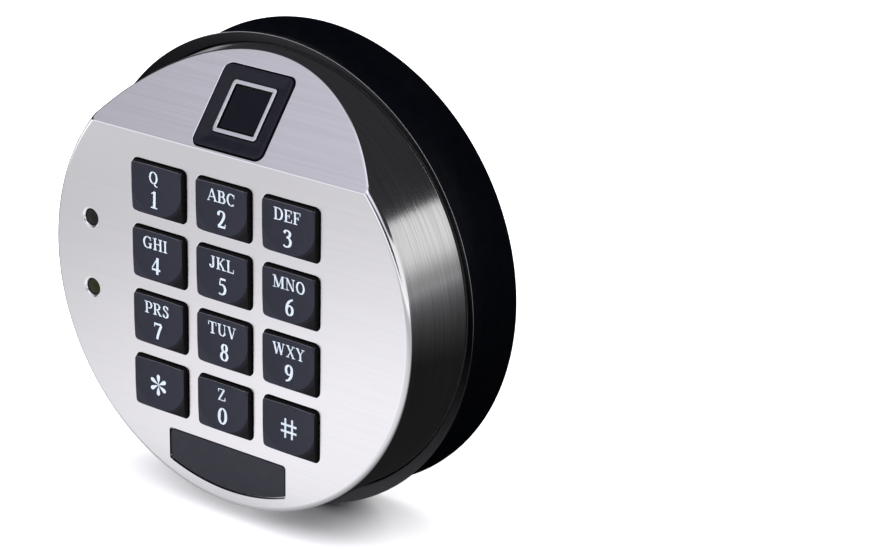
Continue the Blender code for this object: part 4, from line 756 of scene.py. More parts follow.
def moulded_grain_group():
    """The fine leather-like grain and the slow waviness of moulded plastic."""
    inputs = [("Position", "NodeSocketVector", None), ("Grain", "NodeSocketFloat", 4000.0)]
    tree, given = group_tree("moulded_grain", inputs, ["Height", "Wear"])
    position = given["Position"]
    cells = node(tree, "ShaderNodeTexVoronoi", {"Vector": position, "Scale": given["Grain"]}, feature="SMOOTH_F1")
    height = plus(tree, cells.outputs["Distance"], noise(tree, position, 180.0, 3.0, 0.6))
    wear = mapped(tree, noise(tree, position, 420.0, 5.0, 0.65), 0.35, 0.7, 0.0, 1.0)
    node(tree, "NodeGroupOutput", {0: height, 1: wear})
    return tree


def smudges_group():
    """Soft marks of handling round nought, and specks of dust."""
    inputs = [("Position", "NodeSocketVector", None), ("Size", "NodeSocketFloat", 90.0)]
    tree, given = group_tree("smudges", inputs, ["Mark", "Dust"])
    position = given["Position"]
    mark = mapped(tree, noise(tree, position, given["Size"], 4.0, 0.6), 0.3, 0.7, -1.0, 1.0)
    specks = node(tree, "ShaderNodeTexVoronoi", {"Vector": position, "Scale": 900.0}).outputs["Distance"]
    node(tree, "NodeGroupOutput", {0: mark, 1: mapped(tree, specks, 0.05, 0.16, 1.0, 0.0)})
    return tree


SHARED_GROUPS = {"brush_lines": brush_lines_group, "moulded_grain": moulded_grain_group, "smudges": smudges_group}


def grouped(tree, name, position, value):
    """The two outputs of a shared group."""
    made = tree.nodes.new("ShaderNodeGroup")
    made.node_tree = bpy.data.node_groups.get(name) or SHARED_GROUPS[name]()
    return wired(tree, made, {0: position, 1: value}).outputs


# Finishes


FINISHES = {}


def new_material(name, values):
    """Starts a finish: gives its tree, its shader and the object's own coordinates."""
    made = FINISHES[name] = bpy.data.materials.new(name)
    made.use_nodes = True
    tree = made.node_tree
    shader = wired(tree, tree.nodes["Principled BSDF"], values)
    return tree, shader, node(tree, "ShaderNodeTexCoord").outputs["Object"]


def dressed(tree, shader, height, distance, **sockets):
    """Links the shader's inputs, and a bump of the given height."""
    bump = node(tree, "ShaderNodeBump", {"Height": height, "Distance": distance, "Strength": 1.0})
    tree.links.new(bump.outputs[0], shader.inputs["Normal"])
    for label, socket in sockets.items():
        tree.links.new(socket, shader.inputs[label.replace("_", " ")])


def brushed_metal(name):
    """Brushed along x on the face and the facet, and round the side wall."""
    tree, shader, position = new_material(name, {"Metallic": 1.0})
    along = grouped(tree, "brush_lines", position, (45.0, 45.0, 5200.0))
    around = grouped(tree, "brush_lines", position, (130.0, 5600.0, 130.0))
    flat = attribute(tree, "lengthwise")
    depth = attribute(tree, "brushing")
    height = between(tree, flat, around[0], along[0])
    streak = between(tree, flat, around[1], along[1])
    tone = mixed(tree, times(tree, streak, depth), "metal_bright", "metal_dull")
    rough = between(tree, attribute(tree, "polish"), between(tree, flat, 0.13, 0.26), 0.12)
    rough = plus(tree, rough, grouped(tree, "smudges", position, 60.0)[0], 0.012)
    dressed(tree, shader, times(tree, height, depth), 0.000012, Base_Color=tone, Roughness=rough)


def plastic(name):
    """Moulded plastic or rubber: a base tone with slow wear, fine grain and smudges."""
    _, _, rough, grain, bump, values = PLASTICS[name]
    tree, shader, position = new_material(name, values)
    moulded = grouped(tree, "moulded_grain", position, grain)
    smudge = grouped(tree, "smudges", position, 140.0)
    tone = mixed(tree, moulded[1], name + "_dark", name + "_light")
    if name == "black_abs":
        # The base ring takes a painted highlight and a painted reflection where the attribute says.
        tone = mixed(tree, attribute(tree, "worn"), tone, "base_worn")
    rough = plus(tree, rough, smudge[0], 0.05)
    rough = maths(tree, "ADD", rough, times(tree, smudge[1], 0.10), clamp=True)
    dressed(tree, shader, moulded[0], bump, Base_Color=tone, Roughness=rough)


def key_rubber(name):
    """Matt black, with a smoother bluish finish inside the finger dish."""
    tree, shader, position = new_material(name, {"Specular IOR Level": 0.08, "Coat Roughness": 0.48})
    dish = attribute(tree, "dish")
    moulded = grouped(tree, "moulded_grain", position, 5200.0)
    smudge = grouped(tree, "smudges", position, 140.0)
    outer = mixed(tree, moulded[1], "key_outer_dark", "key_outer_light")
    inner = mixed(tree, moulded[1], "key_dish_dark", "key_dish_light")
    # The outer tone on the right and top bevels and the lower right cheek is painted shade; the edge tone is a
    # painted highlight.
    tone = mixed(tree, attribute(tree, "edge"), mixed(tree, dish, outer, inner), "key_edge")
    rough = plus(tree, between(tree, dish, 0.62, 0.48), smudge[0], 0.03)
    rough = plus(tree, rough, smudge[1], 0.04)
    coat = mapped(tree, dish, 0.0, 1.0, 0.0, 0.28)
    dressed(tree, shader, moulded[0], 0.000003, Base_Color=tone, Roughness=rough, Coat_Weight=coat)


# Each plated metal: how its lines are stretched, the size of its smudges, its roughness, how much the smudges
# change that, and the depth of the lines.
PLATED = {
    "silver_trim": ("trim", (90.0, 4200.0, 4200.0), 200.0, 0.20, 0.04, 0.000003),
    "steel_screw": ("steel", (1400.0, 1400.0, 1400.0), 300.0, 0.30, 0.08, 0.000004),
}


def plated_metal(name):
    """Plated metal with a fine brushed finish or turning marks."""
    tones, stretch, size, rough, change, bump = PLATED[name]
    tree, shader, position = new_material(name, {"Metallic": 1.0})
    lines = grouped(tree, "brush_lines", position, stretch)
    tone = mixed(tree, lines[1], tones + "_bright", tones + "_dull")
    rough = plus(tree, rough, grouped(tree, "smudges", position, size)[0], change)
    dressed(tree, shader, lines[0], bump, Base_Color=tone, Roughness=rough)


def lamp_lens(name):
    """Dyed clear plastic with darker patches."""
    tree, shader, position = new_material(name, {"Roughness": 0.22, "Specular IOR Level": 0.12})
    smudge = grouped(tree, "smudges", position, 700.0)[0]
    deep = [part * 0.45 for part in getattr(settings().finishes, name)]
    tone = mixed(tree, mapped(tree, smudge, -1.0, 1.0, 0.0, 1.0), name, deep)
    dressed(tree, shader, smudge, 0.000002, Base_Color=tone)


def waves(tree, position, scale, along):
    inputs = {"Vector": position, "Scale": scale, "Distortion": 0.0}
    return node(tree, "ShaderNodeTexWave", inputs, bands_direction=along).outputs["Fac"]


def board_green(name):
    """Solder mask over copper tracks that run in short straight fields."""
    tree, shader, position = new_material(name, {"Roughness": 0.35, "Coat Weight": 0.3})
    cells = node(tree, "ShaderNodeTexVoronoi", {"Vector": position, "Scale": 140.0}, distance="CHEBYCHEV")
    pick = node(tree, "ShaderNodeSeparateColor", {0: cells.outputs["Color"]}).outputs[0]
    turn = mapped(tree, pick, 0.45, 0.55, 0.0, 1.0)
    track = between(tree, turn, waves(tree, position, 260.0, "X"), waves(tree, position, 260.0, "Z"))
    track = times(tree, mapped(tree, track, 0.72, 0.80, 0.0, 1.0), mapped(tree, pick, 0.15, 0.25, 0.0, 1.0))
    moulded = grouped(tree, "moulded_grain", position, 9000.0)
    tone = mixed(tree, track, mixed(tree, moulded[1], "mask_dark", "mask_light"), "track")
    dressed(tree, shader, plus(tree, track, moulded[0], 0.1), 0.00002, Base_Color=tone)


def flex_film(name):
    """Amber film with copper tracks along it."""
    tree, shader, position = new_material(name, {"Roughness": 0.32})
    track = mapped(tree, waves(tree, position, 320.0, "X"), 0.55, 0.70, 0.0, 1.0)
    film = mixed(tree, grouped(tree, "smudges", position, 300.0)[1], "film_light", "film_dark")
    dressed(tree, shader, track, 0.00001, Base_Color=mixed(tree, track, film, "film_track"))


def battery_wrap(name):
    """Printed metal case: dark body with a plain copper-coloured band at the terminals' end."""
    tree, shader, position = new_material(name, {"Metallic": 0.6, "Coat Weight": 0.2})
    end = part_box("battery")[1][0]
    along = split(tree, position)["X"]
    band = mapped(tree, along, end - 0.0150, end - 0.0147, 0.0, 1.0)
    rim = mapped(tree, along, end - 0.0027, end - 0.0024, 0.0, 1.0)
    moulded = grouped(tree, "moulded_grain", position, 5000.0)
    tone = mixed(tree, band, mixed(tree, moulded[1], "cell_dark", "cell_light"), "cell_band")
    rough = plus(tree, 0.32, grouped(tree, "smudges", position, 160.0)[0], 0.05)
    dressed(tree, shader, moulded[0], 0.000003, Base_Color=mixed(tree, rim, tone, "cell_rim"), Roughness=rough)


def floor_level():
    return -settings().base.rim_radius - settings().stage.floor_drop


def floor_paper(name):
    """White paper. The metal sees it as bright near the unit's front and dim behind the unit."""
    tree, shader, position = new_material(name, {"Roughness": 0.7})
    shadow = [part * 0.97 for part in settings().finishes.floor]
    tree.links.new(mixed(tree, noise(tree, position, 3.0, 4.0, 0.5), "floor", shadow), shader.inputs["Base Color"])
    parts = split(tree, position)
    reach = vector_maths(tree, "DISTANCE", position, (0.0, -0.10, floor_level()), "Value")
    front = mapped(tree, parts["Y"], -0.05, -0.012, 1.0, 0.0)
    shade = mapped(tree, parts["X"], 0.012, 0.040, 1.0, 0.85)
    near = times(tree, mapped(tree, reach, 0.03, 0.155, 1.15, 0.68), shade)
    near = plus(tree, near, mapped(tree, reach, 0.28, 0.55, 0.0, 0.75))
    glow = between(tree, front, mapped(tree, reach, 0.17, 0.95, 0.014, 0.35), near)
    light = node(tree, "ShaderNodeEmission", {"Color": colour((1.0, 0.995, 1.025)), "Strength": glow})
    mirrored = node(tree, "ShaderNodeLightPath").outputs["Is Glossy Ray"]
    blend = node(tree, "ShaderNodeMixShader", {0: mirrored, 1: shader.outputs[0], 2: light.outputs[0]})
    tree.links.new(blend.outputs[0], tree.nodes["Material Output"].inputs[0])


def strip_light(name):
    """Plain light, as strong as the attribute glow says."""
    tree, shader, _ = new_material(name, {})
    strength = times(tree, attribute(tree, "glow"), 1.1)
    light = node(tree, "ShaderNodeEmission", {"Color": colour((1.0, 1.0, 1.0)), "Strength": strength})
    tree.links.new(light.outputs[0], tree.nodes["Material Output"].inputs[0])
    tree.nodes.remove(shader)


MAKERS = {
    "brushed_metal": brushed_metal,
    "key_rubber": key_rubber,
    "lamp_dark": lamp_lens,
    "lamp_green": lamp_lens,
    "board_green": board_green,
    "flex_film": flex_film,
    "battery_wrap": battery_wrap,
    "floor_paper": floor_paper,
    "strip_light": strip_light,
} | dict.fromkeys(PLASTICS, plastic) | dict.fromkeys(PLATED, plated_metal)


def finish(name):
    """The material of that name, made when it is first asked for."""
    if name not in FINISHES:
        MAKERS[name](name)
    return FINISHES[name]


# Geometry trees


def geometry_tree(name, inputs):
    """A geometry tree with its named inputs; returns the tree and its input sockets."""
    tree = bpy.data.node_groups.new(name, "GeometryNodeTree")
    tree.interface.new_socket("Geometry", in_out="OUTPUT", socket_type="NodeSocketGeometry")
    for label, kind in {"Geometry": "Geometry", **inputs, "Material": "Material"}.items():
        tree.interface.new_socket(label, in_out="INPUT", socket_type="NodeSocket" + kind)
    return tree, tree.nodes.new("NodeGroupInput").outputs


def finished_tree(tree, geometry, given):
    """Ends a geometry tree with real geometry that wears the given material."""
    real = node(tree, "GeometryNodeRealizeInstances", {0: geometry})
    surface = node(tree, "GeometryNodeSetMaterial", {"Geometry": real.outputs[0], "Material": given["Material"]})
    node(tree, "NodeGroupOutput", {0: surface.outputs[0]})
    return tree


def joined_vector(tree, x=0.0, y=0.0, z=0.0):
    return node(tree, "ShaderNodeCombineXYZ", {0: x, 1: y, 2: z}).outputs[0]


def turned_copies(tree, points, copy, turn):
    """A copy at every point, each with its own turn about the z axis."""
    spin = node(tree, "FunctionNodeEulerToRotation", {0: joined_vector(tree, z=turn)}).outputs[0]
    inputs = {"Points": points, "Instance": copy, "Rotation": spin}
    return node(tree, "GeometryNodeInstanceOnPoints", inputs).outputs[0]


def petals_tree(name):
    """Repeats a petal round the star's middle and lays the petals into the dish."""
    inputs = {"Petals": "Int", "Dish Sphere": "Float", "Dish Middle": "Vector", "Star Middle": "Vector"}
    tree, given = geometry_tree(name, inputs)
    spots = node(tree, "GeometryNodePoints", {"Count": given["Petals"], "Position": given["Star Middle"]}).outputs[0]
    number = node(tree, "GeometryNodeInputIndex").outputs[0]
    turn = times(tree, maths(tree, "DIVIDE", 2 * pi, given["Petals"]), number)
    placed = turned_copies(tree, spots, given["Geometry"], turn)
    real = node(tree, "GeometryNodeRealizeInstances", {0: placed}).outputs[0]
    position = node(tree, "GeometryNodeInputPosition").outputs[0]
    away = split(tree, vector_maths(tree, "SUBTRACT", position, given["Dish Middle"]))
    square = plus(tree, maths(tree, "POWER", away[0], 2.0), maths(tree, "POWER", away[1], 2.0))
    sphere = given["Dish Sphere"]
    inner = maths(tree, "SQRT", maths(tree, "SUBTRACT", times(tree, sphere, sphere), square))
    rise = joined_vector(tree, z=maths(tree, "SUBTRACT", sphere, inner))
    laid = node(tree, "GeometryNodeSetPosition", {"Geometry": real, "Offset": rise}).outputs[0]
    return finished_tree(tree, laid, given)


def turning_tree(name):
    """Turns a closed profile about the z axis, with its middle part drawn in as a waist."""
    inputs = {"Segments": "Int", "Waist Depth": "Float", "Merge Distance": "Float"}
    tree, given = geometry_tree(name, inputs)
    profile = given["Geometry"]
    total = node(tree, "GeometryNodeAttributeDomainSize", {0: profile}).outputs["Point Count"]
    rows = plus(tree, total, 1.0)
    columns = plus(tree, given["Segments"], 1.0)
    grid = node(tree, "GeometryNodeMeshGrid", {"Vertices X": columns, "Vertices Y": rows}).outputs["Mesh"]
    number = node(tree, "GeometryNodeInputIndex").outputs[0]
    row = maths(tree, "MODULO", maths(tree, "MODULO", number, rows), total)
    column = maths(tree, "FLOOR", maths(tree, "DIVIDE", number, rows))
    turn = times(tree, column, maths(tree, "DIVIDE", 2 * pi, given["Segments"]))

    def of_profile(value, kind):
        inputs = {"Geometry": profile, "Value": value, "Index": row}
        return node(tree, "GeometryNodeSampleIndex", inputs, data_type=kind).outputs[0]

    spot = split(tree, of_profile(node(tree, "GeometryNodeInputPosition").outputs[0], "FLOAT_VECTOR"))
    waist = node(tree, "GeometryNodeInputNamedAttribute", {"Name": "waist"}, data_type="FLOAT").outputs[0]
    drawn = maths(tree, "SINE", times(tree, of_profile(waist, "FLOAT"), pi))
    radius = maths(tree, "SUBTRACT", spot["X"], times(tree, drawn, given["Waist Depth"]))
    x = times(tree, radius, maths(tree, "COSINE", turn))
    y = times(tree, radius, maths(tree, "SINE", turn))
    place = joined_vector(tree, x, y, spot["Z"])
    bent = node(tree, "GeometryNodeSetPosition", {"Geometry": grid, "Position": place}).outputs[0]
    inputs = {"Geometry": bent, "Distance": given["Merge Distance"]}
    return finished_tree(tree, node(tree, "GeometryNodeMergeByDistance", inputs).outputs[0], given)


def fastener_tree(name):
    """Places a screw at every point of a mesh, each turned at random."""
    tree, given = geometry_tree(name, {"Fastener": "Object", "Largest Turn": "Float", "Seed": "Int"})
    screw = node(tree, "GeometryNodeObjectInfo", {"Object": given["Fastener"]}).outputs["Geometry"]
    turn = node(tree, "FunctionNodeRandomValue", {3: given["Largest Turn"], 8: given["Seed"]}).outputs[1]
    return finished_tree(tree, turned_copies(tree, given["Geometry"], screw, turn), given)


def lead_tree(name):
    """A sleeve of constant width along a path."""
    tree, given = geometry_tree(name, {"Radius": "Float"})
    path = node(tree, "GeometryNodeMeshToCurve", {"Mesh": given["Geometry"]}).outputs[0]
    ring = node(tree, "GeometryNodeCurvePrimitiveCircle", {"Resolution": 20, "Radius": given["Radius"]})
    inputs = {"Curve": path, "Profile Curve": ring.outputs["Curve"], "Fill Caps": True}
    return finished_tree(tree, node(tree, "GeometryNodeCurveToMesh", inputs).outputs[0], given)


GEOMETRY_TREES = {
    "star_petals": petals_tree,
    "turned_ring": turning_tree,
    "placed_fasteners": fastener_tree,
    "sleeved_lead": lead_tree,
}


def grown(name, mesh, tree_name, surface, values):
    """Runs a geometry tree on a mesh, and keeps what it gives as a plain mesh."""
    tree = bpy.data.node_groups.get(tree_name) or GEOMETRY_TREES[tree_name](tree_name)
    obj = scene_object(name, mesh)
    modifier = obj.modifiers.new(tree_name, "NODES")
    modifier.node_group = tree
    for label, value in {**values, "Material": finish(surface)}.items():
        modifier[tree.interface.items_tree[label].identifier] = value
    return settled(obj)


def turned(name, profile, segments, surface, waist_depth=0.0, waist=()):
    """A piece turned by the geometry tree. The profile holds radius and height, the waist a number for each spot."""
    total = len(profile)
    edges = [(index, (index + 1) % total) for index in range(total)]
    mesh = drawn_mesh(name, [(radius, 0.0, height) for radius, height in profile], edges)
    marked(mesh, "waist", "POINT", waist or [0.0] * total)
    values = {"Segments": segments, "Waist Depth": waist_depth, "Merge Distance": MERGE / 4}
    obj = grown(name, mesh, "turned_ring", surface, values)
    with edited(obj.data) as bm:
        bmesh.ops.dissolve_degenerate(bm, edges=bm.edges, dist=MERGE / 4)
        bmesh.ops.recalc_face_normals(bm, faces=bm.faces)
    return obj


# Housing and inlay


def rim_profile(housing):
    """Face, rounded rim, side wall and back edge, as radius and height."""
    profile = [
        (0.0, housing.face_height),
        (housing.face_radius, housing.face_height),
        (housing.skirt_radius, housing.skirt_height),
        (0.0, housing.skirt_height),
    ]
    rim = softened(profile[:3], housing.rim, closed=False, steps=14)
    return softened(rim[:-1] + profile[2:], housing.back_edge, closed=False, steps=LIP_STEPS, least=radians(60))


def facet_direction():
    housing = settings().housing
    return Vector((0.0, sin(housing.tilt), cos(housing.tilt)))


def facet_of(bm):
    """The largest face that leans like the facet."""
    out = facet_direction()
    return max((face for face in bm.faces if face.normal.dot(out) > 0.999), key=lambda face: face.calc_area())


def cut_by_facet(mesh, depth, edge=0.0):
    """Takes off what stands in front of a plane under the facet, and rounds the edges that this leaves."""
    housing = settings().housing
    out = facet_direction()
    foot = Vector((0.0, housing.crease, housing.face_height)) - out * depth
    with edited(mesh) as bm:
        everything = bm.verts[:] + bm.edges[:] + bm.faces[:]
        bmesh.ops.bisect_plane(bm, geom=everything, dist=MERGE / 10, plane_co=foot, plane_no=out, clear_outer=True)
        bmesh.ops.contextual_create(bm, geom=[item for item in bm.edges if item.is_boundary])
        bmesh.ops.dissolve_limit(bm, angle_limit=radians(0.05), verts=bm.verts, edges=bm.edges)
        if edge:
            bmesh.ops.remove_doubles(bm, verts=facet_of(bm).verts[:], dist=edge / 3)
            bmesh.ops.bevel(
                bm, geom=facet_of(bm).edges[:], offset=edge, offset_type="OFFSET", segments=3, profile=0.5,
                affect="EDGES", clamp_overlap=False, loop_slide=True,
            )
    return mesh


def shell_cavity(housing):
    """The room inside the housing."""
    ceiling = housing.face_height - housing.wall
    mouth = housing.skirt_radius - housing.wall
    low = housing.skirt_height - OVERRUN
    cavity = [(0.0, ceiling), (housing.face_radius - housing.wall, ceiling), (mouth, low), (0.0, low)]
    cavity = softened(cavity, housing.rim, closed=False, least=radians(60))
    cavity = [(0.0, ceiling)] + [spot for spot in cavity if low < spot[1]] + [(mouth, low), (0.0, low)]
    return cut_by_facet(lathed("cavity", cavity, BODY_SEGMENTS // 2), housing.wall)


def flange_heights():
    """Foot and top of the flange of the reader's bezel, against the facet."""
    top = -settings().housing.wall - GAP
    return top - settings().reader.flange_thickness, top


def shell_posts(housing):
    """The posts that take the screws."""
    foot = housing.face_height - housing.wall + OVERRUN
    screw_post = cylinder(housing.screw_post, housing.screw_post_foot, foot)
    board_post = cylinder(housing.board_post, housing.board_post_foot, foot)
    clamp_post = cylinder(housing.clamp_post, flange_heights()[0], OVERRUN - housing.wall)
    posts = [
        repeated(screw_post, node_places(HOUSING_SCREWS)),
        repeated(board_post, node_places(BOARD_SCREWS)),
        moved(repeated(clamp_post, clamp_places()), leaning()),
    ]
    return merged("posts", posts)


def key_opening(margin):
    keys = settings().keys
    return rounded_rectangle(keys.hole_width + 2 * margin, keys.hole_height + 2 * margin, keys.hole_corner + margin)


def inlay_outline(margin):
    """A segment of the face: straight top and sides, with a bottom that follows the rim."""
    inlay = settings().inlay
    half = inlay.half_width + margin
    top = margin - inlay.top_drop
    radius = inlay.radius + margin
    reach = asin(half / radius)
    bottom = arc((0.0, 0.0), radius, -pi / 2 - reach, -pi / 2 + reach, 32)
    return softened(bottom + [(half, top), (-half, top)], inlay.corner, least=radians(30))


def inlay_room(margin):
    return inlay_outline(margin + GAP)


def reader_window(margin):
    reader = settings().reader
    room = margin + GAP
    return rounded_rectangle(reader.width + 2 * room, reader.height + 2 * room, reader.corner + room)


def lamp_hole(low, top):
    lamps = settings().lamps
    lip = lamps.hole_lip
    mouth = lamps.hole + lip
    profile = [(0.0, low), (lamps.hole, low), *arc((mouth, top - lip), lip, pi, pi / 2, 6)]
    return lathed("lamp_hole", profile + [(mouth, top + OVERRUN), (0.0, top + OVERRUN)], SMALL_SEGMENTS)


def shell_openings(housing):
    """The holes for the keys, lamps, inlay, reader and screws."""
    reader = settings().reader
    inlay = settings().inlay
    top = housing.face_height
    low = top - housing.wall - OVERRUN
    clamp_foot = flange_heights()[0]
    middle = (0.0, reader.offset + reader.height / 2)
    window = flared(reader_window, -housing.wall - OVERRUN, 0.0, housing.lip * 0.8, middle)
    screw_bore = (housing.screw_bore, housing.screw_post_foot - OVERRUN, housing.screw_bore_top)
    board_bore = (housing.small_bore, housing.board_post_foot - OVERRUN, housing.board_bore_top)
    clamp_bore = (housing.small_bore, clamp_foot - OVERRUN, clamp_foot + housing.clamp_bore_depth)
    openings = [
        repeated(skinned("opening", flared(key_opening, low, top, housing.lip)), key_places()),
        repeated(lamp_hole(low, top), lamp_places()),
        skinned("recess", flared(inlay_room, top - inlay.recess, top, inlay.recess_lip)),
        moved(skinned("window", window), leaning()),
        repeated(cylinder(*screw_bore, BORE_SEGMENTS), node_places(HOUSING_SCREWS)),
        repeated(cylinder(*board_bore, BORE_SEGMENTS), node_places(BOARD_SCREWS)),
        moved(repeated(cylinder(*clamp_bore, BORE_SEGMENTS), clamp_places()), leaning()),
    ]
    return merged("openings", openings)


def mark_brushing(mesh):
    """Stores which way the metal is brushed, how strongly, and which edges are polished."""
    out = facet_direction()
    values = {"lengthwise": [], "brushing": [], "polish": []}
    for face in mesh.polygons:
        front = face.normal.z > 0.9995
        sloping = face.normal.dot(out) > 0.9995
        side = abs(face.normal.z) < 0.08
        values["lengthwise"].append(1.0 if front or sloping else 0.0)
        values["brushing"].append(0.12 if front else 0.3 if sloping else 1.0 if side else 0.1)
        values["polish"].append(0.0 if front or sloping or side else 1.0)
    for name, numbers in values.items():
        marked(mesh, name, "FACE", numbers)


def build_housing():
    housing = settings().housing
    body = lathed("front_shell", rim_profile(housing), BODY_SEGMENTS)
    shell = scene_object("front_shell", cut_by_facet(body, 0.0, housing.crease_edge))
    combined(shell, shell_cavity(housing), "DIFFERENCE")
    combined(shell, shell_posts(housing), "UNION")
    combined(shell, shell_openings(housing), "DIFFERENCE")
    cleaned(shell)
    mark_brushing(shell.data)
    piece(shaded(shell), "brushed_metal", ["front_housing"])


def inlay_narrowed(margin):
    return inlay_outline(-margin)


def build_inlay():
    inlay = settings().inlay
    top = settings().housing.face_height - inlay.sink
    rings = [level(inlay_outline(0.0), top - inlay.thickness), *rounded_top(inlay_narrowed, top, inlay.edge)]
    piece(shaded(scene_object("inlay", skinned("inlay", rings))), "inlay_black", ["inlay_plate"])


# Key caps


def dish_sphere():
    """Radius of the sphere that the finger dish is part of."""
    keys = settings().keys
    return (keys.dish_radius**2 + keys.dish_depth**2) / (2 * keys.dish_depth)


def head_height(x, y):
    """How far a cap's head stands over the face, at x and y from the key's middle."""
    keys = settings().keys
    radius = hypot(x, y - keys.dish_rise)
    if radius < keys.dish_radius:
        sphere = dish_sphere()
        return keys.proud - keys.dish_depth + sphere - sqrt(sphere**2 - radius**2)
    beyond = radius - keys.dish_radius
    return keys.proud - beyond * tan(keys.cheek_slope) - beyond**2 / (2 * keys.cheek_bend)


def cap_outline(margin, steps=28, corner_steps=10):
    """A cap's outline with as many points at every margin."""
    keys = settings().keys
    width = keys.hole_width - 2 * (keys.gap + margin)
    height = keys.hole_height - 2 * (keys.gap + margin)
    corners = rounded_rectangle(width, height, max(keys.hole_corner - keys.gap - margin, MERGE), corner_steps)
    points = []
    for index, spot in enumerate(corners):
        points.append(spot)
        if index % (corner_steps + 1) == corner_steps:
            after = corners[(index + 1) % len(corners)]
            for step in range(1, steps):
                points.append(tuple(Vector(spot).lerp(Vector(after), step / steps)))
    return points


def cap_ring(border, distance, part):
    """Points of a cap's head at a distance from the dish's middle, and by a part of the way on to its border."""
    face = settings().housing.face_height
    middle = Vector((0.0, settings().keys.dish_rise))
    ring = []
    for spot in border:
        ray = Vector(spot) - middle
        reach = ray.length
        way = min(distance + max(reach - distance, 0.0) * part, reach)
        point = middle + ray * way / reach
        ring.append((point.x, point.y, face + head_height(point.x, point.y)))
    return ring


def cap_head_rings():
    """Wall, bevel, head and finger dish of a cap, from the outside in."""
    keys = settings().keys
    face = settings().housing.face_height
    inner = cap_outline(keys.draft + keys.bevel)
    ridge = keys.dish_radius + keys.crisp
    bowl = keys.dish_radius - keys.crisp
    soft = keys.soft
    # How far each ring of the wall and the bevel lies inside the outline, and how far under the head's edge.
    steps = (
        (0.0, keys.bevel_drop + keys.draft_rise),
        (keys.draft, keys.bevel_drop + soft),
        (keys.draft + soft * 0.15, keys.bevel_drop + soft * 0.3),
        (keys.draft + soft * 0.6, keys.bevel_drop - soft * 0.2),
        (keys.draft + keys.bevel - soft * 1.6, soft * 0.75),
        (keys.draft + keys.bevel - soft * 0.8, soft * 0.22),
    )
    rings = []
    for margin, drop in steps:
        pairs = zip(cap_outline(margin), inner)
        rings.append([(x, y, face + head_height(*edge) - drop) for (x, y), edge in pairs])
    rings.append([(x, y, face + head_height(x, y)) for x, y in inner])
    for part in (0.75, 0.5, 0.25, 0.0):
        rings.append(cap_ring(inner, ridge, part))
    rings.append(cap_ring(inner, keys.dish_radius, 0.0))
    for part in (1.0, 0.97, 0.88, 0.76, 0.62, 0.46, 0.30, 0.14, 0.0):
        rings.append(cap_ring(inner, bowl * part, 0.0))
    return rings


def mark_dish(mesh, low):
    """Stores where a cap has the smoother finish of its finger dish, and where its upper edge is worn."""
    keys = settings().keys
    inset = keys.gap + keys.draft + keys.bevel
    reach = keys.hole_width / 2 - inset
    top = keys.hole_height / 2 - inset
    dish = []
    edge = []
    for vertex in mesh.vertices:
        x, y, z = vertex.co
        away = hypot(x, y - keys.dish_rise) - keys.dish_radius
        # Painted shade: the lower right cheek takes part of the darker outer tone, more of it away from the dish.
        cheek = x > 0 and y < keys.dish_rise and away > keys.crisp * 0.5
        head = z > low + keys.gap + head_height(x, y) - keys.bevel_drop
        # Painted shade: the right and top bevels take the darker outer tone.
        bevel = x > reach + keys.soft * 0.5 or y > top + keys.soft * 0.5
        cheek_shading = max(0.1, 0.5 - away / keys.fade)
        dish.append(0.0 if not head or bevel else cheek_shading if cheek else 1.0)
        # Painted highlight: a thin lighter line along the head's upper edge.
        edge.append(1.0 if head and top + keys.soft * 0.5 < y < top + keys.soft else 0.0)
    marked(mesh, "dish", "POINT", dish)
    marked(mesh, "edge", "POINT", edge)


def key_cap():
    """One hollow cap about its own middle, at its height over the door."""
    keys = settings().keys
    face = settings().housing.face_height
    flange_top = face - settings().housing.wall - keys.gap
    flange_foot = flange_top - keys.flange_thickness
    foot = level(cap_outline(0.0), flange_top - keys.flange_thickness / 2)
    cap = scene_object("key_cap", skinned("key_cap", [foot] + cap_head_rings()))
    lip_width = keys.hole_width + 2 * keys.flange_lip
    lip_height = keys.hole_height + 2 * keys.flange_lip
    lip = rounded_rectangle(lip_width, lip_height, keys.hole_corner)
    combined(cap, skinned("flange", [level(lip, flange_foot), level(lip, flange_top)]), "UNION")
    room = 2 * (keys.gap + keys.side_wall)
    pocket = rounded_rectangle(keys.hole_width - room, keys.hole_height - room, keys.soft * 4)
    pocket_top = face + keys.proud - keys.dish_depth - keys.crown_wall
    combined(cap, skinned("pocket", [level(pocket, flange_foot - OVERRUN), level(pocket, pocket_top)]), "DIFFERENCE")
    stub = cylinder(keys.plunger_radius, keys.plunger_foot, pocket_top + keys.crown_wall / 2, BORE_SEGMENTS)
    combined(cap, stub, "UNION")
    mark_dish(cap.data, face - keys.gap)
    return shaded(cap, radians(58))


def key_matrix(place):
    return PANEL @ shift(place)


def build_keys():
    model = key_cap()
    for name, place in zip(KEY_NAMES, key_places()):
        cap = scene_object("cap_" + name, model.data.copy())
        piece(cap, "key_rubber", ["key_" + name], key_matrix(place), "key_" + name)
    discard(model)


# Printed signs

